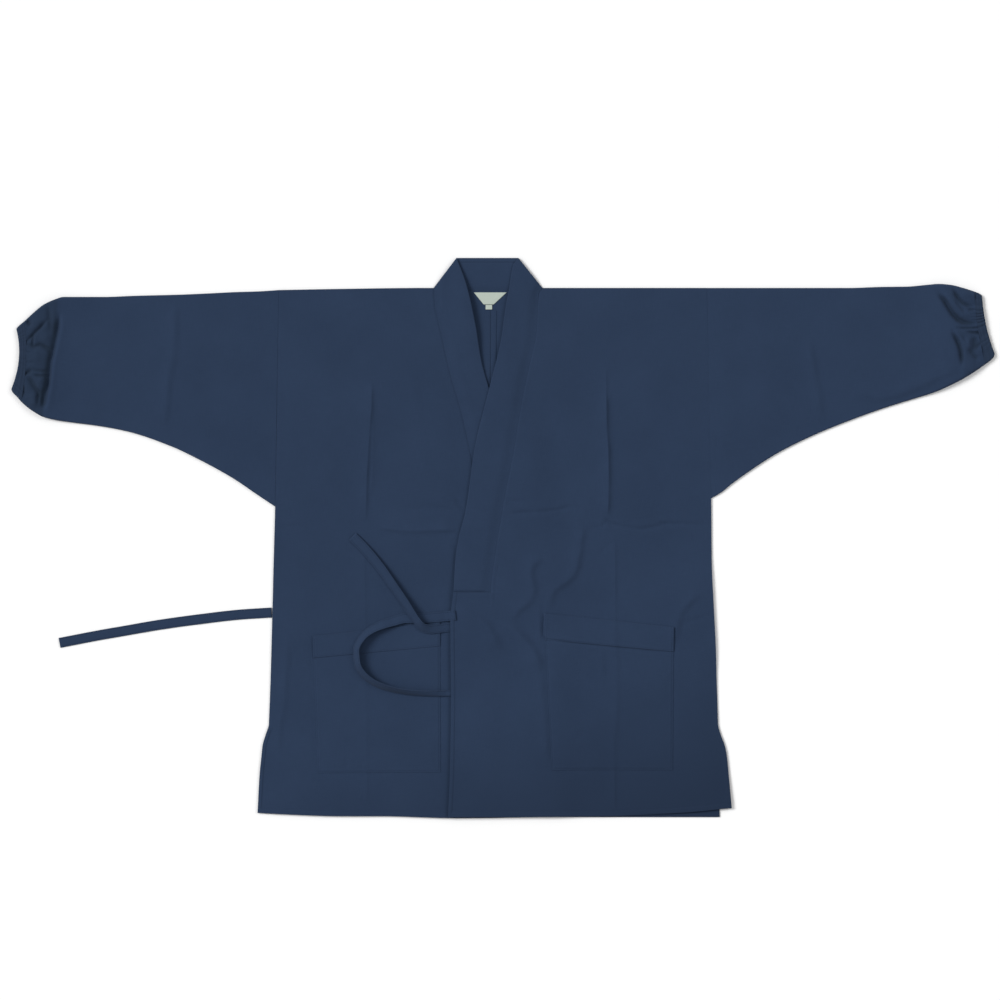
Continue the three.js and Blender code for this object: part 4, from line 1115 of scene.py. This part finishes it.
# %% [markdown]
# ## Pockets
# A patch pocket is turned in all round and topstitched on, with a wide hem along its slanted opening.
# It lies on the front, so its height is the height of the front below it and a little more, and the
# front's creases show through it as they do on the real one. The hem is three plies, so it ends in a
# clear step, and the opening gapes a little at its corners.

# %% Pockets
Pocket = namedtuple("Pocket", "front_top side_top side_low front_low")
POCKETS = {
    "left": Pocket((73.2, 471.3), (261.7, 491.6), (260.3, 699), (84.8, 699)),
    "right": Pocket((77, 484.3), (261.7, 504.6), (254.5, 703), (76, 702)),
}
POCKET_HEM = {"left": 36.5, "right": 34}
POCKET_LENGTH, POCKET_WIDTH = 215, 188
POCKET_STITCH, HEM_STITCH = 2.4, 1.6  # from the edge of the pocket, and of its hem, to the stitching
PATCH = 0.42  # thickness of the pocket's cloth
TURNING = 0.2  # what its turned edge adds
HEM_PLIES = 1.0  # what its wide hem adds
GAPE = {"left": (1.4, 1.1), "right": (0.4, 0.5)}  # at the front and at the side of the opening


def pocket_plan(side, across_share, down_share):
    corners = POCKETS[side]
    top = [mix(corners.front_top[k], corners.side_top[k], across_share) for k in range(2)]
    low = [mix(corners.front_low[k], corners.side_low[k], across_share) for k in range(2)]
    return mix(top[0], low[0], down_share), mix(top[1], low[1], down_share)


def pocket_faces(side, across_share, down_share):
    """Heights of a pocket's upper and lower faces, from shares of its width and length."""
    out, down = pocket_plan(side, across_share, down_share)
    to_open = down_share * POCKET_LENGTH
    to_side = np.minimum(across_share, 1 - across_share) * POCKET_WIDTH
    to_rim = np.minimum(to_side, (1 - down_share) * POCKET_LENGTH)
    past_hem = to_open - POCKET_HEM[side]
    loft = 0.35 * smooth(to_rim, 2, 18) * smooth(to_open, 0, 20)
    loft += GAPE[side][0] * bell(across_share, 0.1) * bell(to_open, 24)
    loft += GAPE[side][1] * bell(1 - across_share, 0.1) * bell(to_open, 26)
    low = front_top(side, SIGN[side] * out, down) + 0.05 + loft
    thick = PATCH + TURNING * (1 - smooth(to_rim, 3.5, 7)) * smooth(to_rim, -0.5, 2.5)
    thick += HEM_PLIES * (1 - smooth(past_hem, -0.2, 0.7)) * mix(0.7, 1.1, across_share)
    thick -= 0.28 * bell(to_rim - POCKET_STITCH, 0.8) + 0.25 * bell(past_hem + HEM_STITCH, 0.7)
    thick -= 0.2 * bell(past_hem - 0.9, 0.8)
    return low + thick + pucker(to_rim - 2, out + down), low


def build_pocket(side):
    hem, long, wide = POCKET_HEM[side], POCKET_LENGTH, POCKET_WIDTH
    rows = spaced(0, long, [(0, 0.7), (3, 1.4), (8, 2.8), (hem - 7, 2.6), (hem - 3.5, 0.7),
                            (hem - 0.6, 0.4), (hem + 1.2, 0.4), (hem + 3, 1.6), (hem + 8, 2.8),
                            (long - 10, 2.8), (long - 6, 0.8), (long, 0.6)]) / long
    columns = spaced(0, wide, [(0, 0.6), (5, 0.8), (10, 2.8), (wide - 10, 2.8), (wide - 5, 0.8),
                               (wide, 0.6)]) / wide
    down_share, across_share = np.meshgrid(rows, columns, indexing="ij")
    out, down = pocket_plan(side, across_share, down_share)
    top, low = pocket_faces(side, across_share, down_share)
    piece = sheet(f"pocket_{side}", SIGN[side] * out, down, top, thickness=top - low, rim=0.2)
    return dress(piece, cloth, f"pocket_{side}")


pockets = {side: build_pocket(side) for side in SIGN}

# %% Height of a pocket's upper face at places on the garment


def pocket_height(side):
    def read(across, down):
        out = SIGN[side] * across
        across_share, down_share = np.full(np.shape(out), 0.5), np.full(np.shape(out), 0.5)
        for _ in range(6):
            here_out, here_down = pocket_plan(side, across_share, down_share)
            across_share = across_share + (out - here_out) / POCKET_WIDTH
            down_share = down_share + (down - here_down) / POCKET_LENGTH
        inside = (np.abs(across_share - 0.5) < 0.5) & (np.abs(down_share - 0.5) < 0.5)
        top, _ = pocket_faces(side, np.clip(across_share, 0, 1), np.clip(down_share, 0, 1))
        return np.where(inside, top, 0)

    return read


# %% [markdown]
# ## Ties
# A tie is a strip of cloth folded in on itself and topstitched along both edges. Two of them lie
# over the front, one in a loop that leans on its edge, and one stretches out over the table. A
# rounded section is swept along each route. The lean tips it, and where the loop tucks back under
# the front the strip is folded narrower. Each strip rests on the highest cloth beneath its width,
# and "lift" is what it keeps above that.

# %% Routes and section of the ties
TIE_WIDTH = 14.5
TIE_THICK = 1.2
FOLDED = 1.2  # how much thicker a tie gets as it is folded narrower
TIE_STEP = 2.4
Turn = namedtuple("Turn", "across down lift lean width over")  # over: 1 on the outer front, 0 below it
TIES = {
    "tie_front_outer": [
        Turn(-54, 474.4, 0.1, 0, 1, 1), Turn(-59.5, 475, 0.1, 0, 1, 1), Turn(-70, 476, 0.4, 2, 1, 1),
        Turn(-80, 477, 0.8, 3, 1, 0), Turn(-98, 478.5, 0.5, 4, 1, 0), Turn(-125, 478.5, 0.4, 10, 1, 0),
        Turn(-146, 483.6, 0.3, 24, 1, 0), Turn(-169, 491.6, 0.2, 38, 1, 0),
        Turn(-188, 505, 0.2, 46, 1, 0), Turn(-198, 525, 0.2, 48, 1, 0), Turn(-196, 545, 0.2, 48, 1, 0),
        Turn(-186, 561, 0.2, 50, 1, 0), Turn(-169, 573, 0.2, 54, 1, 0), Turn(-150, 580, 0.2, 56, 0.95, 0),
        Turn(-134, 583.5, 0.2, 54, 0.85, 0), Turn(-112, 586.3, 0.2, 44, 0.72, 0),
        Turn(-88, 587.3, 0.2, 30, 0.64, 0), Turn(-77, 587.4, 0.2, 16, 0.62, 0),
        Turn(-70, 587.4, 0.1, 5, 0.6, 0), Turn(-64, 587.4, 0.1, 0, 0.6, 0), Turn(-46, 587.4, 0.1, 0, 0.6, 0)],
    "tie_front_inner": [
        Turn(56, 478, 0.1, 0, 1, 0), Turn(10, 484, 0.1, 0, 1, 0), Turn(-33, 490, 0.1, 0, 1, 0),
        Turn(-64, 492, 0.1, 0, 0.9, 0), Turn(-70, 492.8, 0.2, -2, 0.85, 0),
        Turn(-77, 493.6, 0.3, -6, 0.85, 0), Turn(-90, 494.5, 0.6, -20, 0.95, 0),
        Turn(-101, 491.5, 1.6, -36, 1, 0), Turn(-109, 483.5, 3.0, -44, 1, 0),
        Turn(-117, 472, 3.0, -42, 1, 0), Turn(-128, 455, 1.2, -36, 1, 0), Turn(-140, 438, 0.4, -28, 1, 0),
        Turn(-165, 403, 0.2, -18, 1, 0), Turn(-188, 376, 0.2, -12, 1, 0), Turn(-204, 360, 0.3, -8, 1, 0)],
    "tie_side_outer": [
        Turn(-321, 470.5, 0, 0, 1, 0), Turn(-366, 473.4, 0, 0, 1, 0), Turn(-424, 480, 0, 0, 1, 0),
        Turn(-482, 488, 0, 0, 1, 0), Turn(-540, 498, 0, 0, 1, 0), Turn(-569, 503, 0, 0, 1, 0),
        Turn(-604, 509.7, 0, 0, 1, 0), Turn(-628.6, 514.5, 0, 0, 1, 0)],
    "tie_side_inner": [Turn(across, down, 0, 0, 1, 0) for across, down in HIDDEN_TIE],
}
TIE_GROUND = {"tie_side_outer": 0, "tie_side_inner": ON_BACK}


def tie_section():
    """A flat strip with rounded edges and a groove at each stitch line, as aside and up."""
    half, thick = TIE_WIDTH / 2, TIE_THICK
    turn = np.linspace(0, np.pi / 2, 4)
    edge = np.stack([half - thick / 2 * (1 - np.cos(turn)), thick / 2 + thick / 2 * np.sin(turn)], 1)
    inner = np.array([[half - 1.5, thick], [half - 2, thick - 0.2], [half - 2.5, thick],
                      [half - 4, thick + 0.12], [0, thick + 0.15]])
    right = np.concatenate([edge, inner])
    top = np.concatenate([right, right[-2::-1] * [-1, 1]])
    bottom = top[-2:0:-1] * [1, -1] + [0, thick]
    return np.concatenate([top, bottom])


def cloth_below(across, down, over):
    """The highest cloth under a tie that lies on the inner front, or on both fronts."""
    inner = np.maximum(front_top("right", across, down), pocket_height("right")(across, down))
    on_outer = (over > 0.5) & (across > FRONT_EDGE(down))
    return np.where(on_outer, front_top("left", across, down), inner)


def tie_frame(name):
    """Middles of a tie's strip, with its directions aside and up, its widths and the run."""
    rows = np.array(TIES[name], float)
    run = np.concatenate([[0], np.cumsum(np.hypot(*np.diff(rows[:, :2], axis=0).T))])
    at = np.linspace(0, run[-1], round(run[-1] / TIE_STEP) + 1)
    across, down, lift, lean, width, over = [curve(list(zip(run, column)))(at) for column in rows.T]
    course = np.stack([np.gradient(across), np.gradient(down)], axis=-1)
    cx, cy = (course / np.linalg.norm(course, axis=1, keepdims=True)).T
    tilt = np.radians(lean + 2.5 * np.sin(at / 23 + 0.5) * smooth(np.abs(lean), 0, 10))
    aside = np.stack([cy * np.cos(tilt), -cx * np.cos(tilt), np.sin(tilt)], axis=-1)
    up = np.stack([-cy * np.sin(tilt), cx * np.sin(tilt), np.cos(tilt)], axis=-1)
    if name in TIE_GROUND:
        ground = np.full(len(at), float(TIE_GROUND[name]))
    else:
        strip = np.linspace(-0.45, 0.45, 5) * TIE_WIDTH
        below = cloth_below(across[:, None] + strip * cy[:, None], down[:, None] - strip * cx[:, None],
                            over[:, None])
        ground = np.convolve(np.pad(below.max(axis=1), 4, mode="edge"), np.hanning(11)[1:-1] / 5, "valid")
    ripple = 0.3 * np.sin(at / 9) * np.sin(at / 31 + 1) + 0.15 * np.sin(at / 4.1 + 1)
    lowest = -np.abs(TIE_WIDTH / 2 * width * np.sin(tilt))
    middle = np.stack([across, down, ground + lift + np.maximum(ripple, 0) - lowest], axis=-1)
    return middle, aside, up, width, at


def build_tie(name):
    middle, aside, up, width, at = tie_frame(name)
    section = tie_section()
    wide = (section[None, :, 0] * width[:, None])[..., None]
    high = (section[None, :, 1] * (1 + FOLDED * (1 - width[:, None])))[..., None]
    points = middle[:, None] + wide * aside[:, None] + high * up[:, None]
    flat = np.stack(np.broadcast_arrays(section[None, :, 0], at[:, None]), axis=-1)
    faces = grid_faces(*flat.shape[:2], around=True)
    piece = mesh_object(name, place(*np.moveaxis(points, -1, 0)), faces, flat)
    close_ends(piece)
    return dress(piece, cloth, name), at[-1]


ties = {name: build_tie(name) for name in TIES}

# %% [markdown]
# ## Label
# A woven label is caught in the neck seam, with a small tab below it. Both are narrow woven tape, so
# fine ribs run across them, and they curl up a little at their free end. A small sheet with the ribs
# in its height is enough.

# %% Label and tab
LABEL = [(6.5, -28, 19.5), (23.9, -13.8, 0.7)]
TAB = [(24.5, -10.9, -1.5), (31.2, -10.9, -1.5)]
LABEL_HIGH = 1.9  # its upper face where it is sewn in
RIB = 0.04


def build_patch(name, corners):
    (top, top_from, top_to), (low, low_from, low_to) = corners
    share_down, share_across = np.meshgrid(np.linspace(0, 1, 14), np.linspace(0, 1, 22), indexing="ij")
    start, end = mix(top_from, low_from, share_down), mix(top_to, low_to, share_down)
    across, down = mix(start, end, share_across), mix(top, low, share_down)
    curl = 0.35 * np.sin(np.pi * share_across) * share_down + 0.3 * share_down
    ribs = RIB * np.sin(down * 5)
    piece = sheet(name, across, down, LABEL_HIGH + curl + ribs, thickness=0.45, rim=0.12)
    return dress(piece, label_cloth, name)


label = build_patch("neck_label", LABEL)
tab = build_patch("size_tab", TAB)

# %% [markdown]
# ## Sewing
# Topstitching runs where a samue has it: along the hems and the slits, down the outer front's edge,
# round the pockets, across the end of the band and at the root of the ties. Each row follows the
# edge it holds, at the distance of its hem.

# %% Stitch lines of the fronts


def front_lines(side):
    sign = SIGN[side]
    out_hem = np.linspace(-56, 336, 200)
    hem = np.stack([sign * out_hem, FRONT_HEM[side](out_hem) - FRONT_HEM_WIDTH], 1)
    down_edge = np.linspace(452, 758, 160)
    lap = np.stack([sign * (FRONT_EDGE(down_edge) + EDGE_HEM_WIDTH), down_edge], 1)
    down_slit = np.linspace(SLIT_TOP, 750, 60)
    slit = np.stack([sign * (SIDE_EDGE[side](down_slit) - SIDE_HEM_WIDTH), down_slit], 1)
    down_tack = [SLIT_TOP - 2.5, SLIT_TOP - 1, SLIT_TOP + 0.5]
    tacks = [[(sign * (SIDE_EDGE[side](at) - 8), at), (sign * (SIDE_EDGE[side](at) - 0.5), at)]
             for at in down_tack]
    down_band = np.linspace(402, 448, 20)
    beside_band = np.stack([sign * (COLLAR_SEAM[side](down_band) + 6.3), down_band], 1)
    below_band = [(sign * 2.7, 448), (sign * -50, 448)]
    return [hem, lap, slit, *tacks, beside_band, below_band]


for side in SIGN:
    rows = [on_surface(line, lambda across, down: front_top(side, across, down))
            for line in front_lines(side)]
    stitch_rows(f"front_stitches_{side}", rows)

# %% Stitch lines of the pockets


def pocket_lines(side):
    """Stitch lines of a pocket, from shares of its width and length."""
    inset, foot = POCKET_STITCH / POCKET_WIDTH, 1 - POCKET_STITCH / POCKET_LENGTH
    hem, start = (POCKET_HEM[side] - HEM_STITCH) / POCKET_LENGTH, 1.5 / POCKET_LENGTH
    shares = [[(inset, start), (inset, foot), (1 - inset, foot), (1 - inset, start)],
              [(inset, hem), (1 - inset, hem)]]
    lines = []
    for line in shares:
        out, down = pocket_plan(side, *np.array(line).T)
        lines.append(np.stack([SIGN[side] * out, down], 1))
    return lines


for side in SIGN:
    rows = [on_surface(line, pocket_height(side)) for line in pocket_lines(side)]
    stitch_rows(f"pocket_stitches_{side}", rows)

# %% Stitch lines of the ties
BOX = [(-11, -5.4), (-1.5, -5.4), (-1.5, 5.4), (-11, 5.4), (-11, -5.4), (-1.5, 5.4), (-1.5, -5.4),
       (-11, 5.4)]  # along the tie before the end of the box, and aside
BOX_END = 12.5
TIE_EDGE = 5.25  # from the middle of a tie to its rows of stitches
TIE_END = 1.5


def on_tie(name, line):
    """A line of (run, aside) laid on a tie's strip."""
    middle, aside, up, width, at = tie_frame(name)
    line = np.array(line, float)
    steps = np.concatenate([[0], np.cumsum(np.hypot(*np.diff(line, axis=0).T))])
    fine = np.linspace(0, steps[-1], max(3, round(steps[-1])) + 1)
    run, away = [np.interp(fine, steps, column) for column in line.T]

    def read(rows):
        return np.stack([np.interp(run, at, column) for column in rows.T], axis=-1)

    narrow = np.interp(run, at, width)[:, None]
    points = read(middle) + away[:, None] * narrow * read(aside)
    return points + (TIE_THICK + 0.05) * (1 + FOLDED * (1 - narrow)) * read(up), read(up)


for name in ("tie_front_outer", "tie_front_inner", "tie_side_outer"):
    length = ties[name][1]
    rows = [on_tie(name, [(TIE_END, aside), (length - TIE_END, aside)])
            for aside in (-TIE_EDGE, TIE_EDGE)]
    if name == "tie_front_outer":
        rows.append(on_tie(name, [(BOX_END + run, aside) for run, aside in BOX]))
    stitch_rows(f"{name}_stitches", rows)

# %% [markdown]
# ## Lengths of the ties
# The length of each tie's route is printed.

for side in SIGN:
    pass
for name, (piece, length) in ties.items():
    print(f"{name}: {length:.0f} mm long")

# %% [markdown]
# ## Floor and light
# The jacket lies on a plain pale surface. As on a copy stand, a large soft light shines from each
# side, the left one stronger, and even light from all round fills the shadows. The lights are far
# away, so they fall evenly on the whole jacket.

# %% Floor and light
FLOOR_DROP = 0.0004  # keeps the floor clear of the underside
SOFTNESS = np.radians(25)
FILL = 0.47  # strength of the light from all round

bpy.ops.object.select_all(action="DESELECT")
bpy.ops.mesh.primitive_plane_add(size=14, location=(0, 0, -FLOOR_DROP))
floor = bpy.context.object
floor.name = "floor"
floor_material = bpy.data.materials.new("pale_floor")
floor_material.use_nodes = True
floor_shader = floor_material.node_tree.nodes["Principled BSDF"]
floor_shader.inputs["Base Color"].default_value = (0.93, 0.93, 0.93, 1)
floor_shader.inputs["Roughness"].default_value = 1.0
floor_shader.inputs["Specular IOR Level"].default_value = 0.0
floor.data.materials.append(floor_material)


def soft_light(name, toward, strength):
    """A broad, distant light that shines on the jacket from one direction."""
    bpy.ops.object.light_add(type="SUN", location=Vector(toward) * 3)
    light = bpy.context.object
    light.name = name
    light.rotation_euler = (-light.location).to_track_quat("-Z", "Y").to_euler()
    light.data.energy = strength
    light.data.angle = SOFTNESS


soft_light("left_light", (-0.71, 0.28, 0.64), 2.42)
soft_light("right_light", (0.70, 0.31, 0.64), 0.65)

world = bpy.data.worlds.new("studio")
bpy.context.scene.world = world
world.use_nodes = True
world.node_tree.nodes["Background"].inputs["Color"].default_value = (1, 1, 1, 1)
world.node_tree.nodes["Background"].inputs["Strength"].default_value = FILL
bpy.context.scene.view_settings.view_transform = "Standard"
print("lights:", [light.name for light in bpy.data.lights])
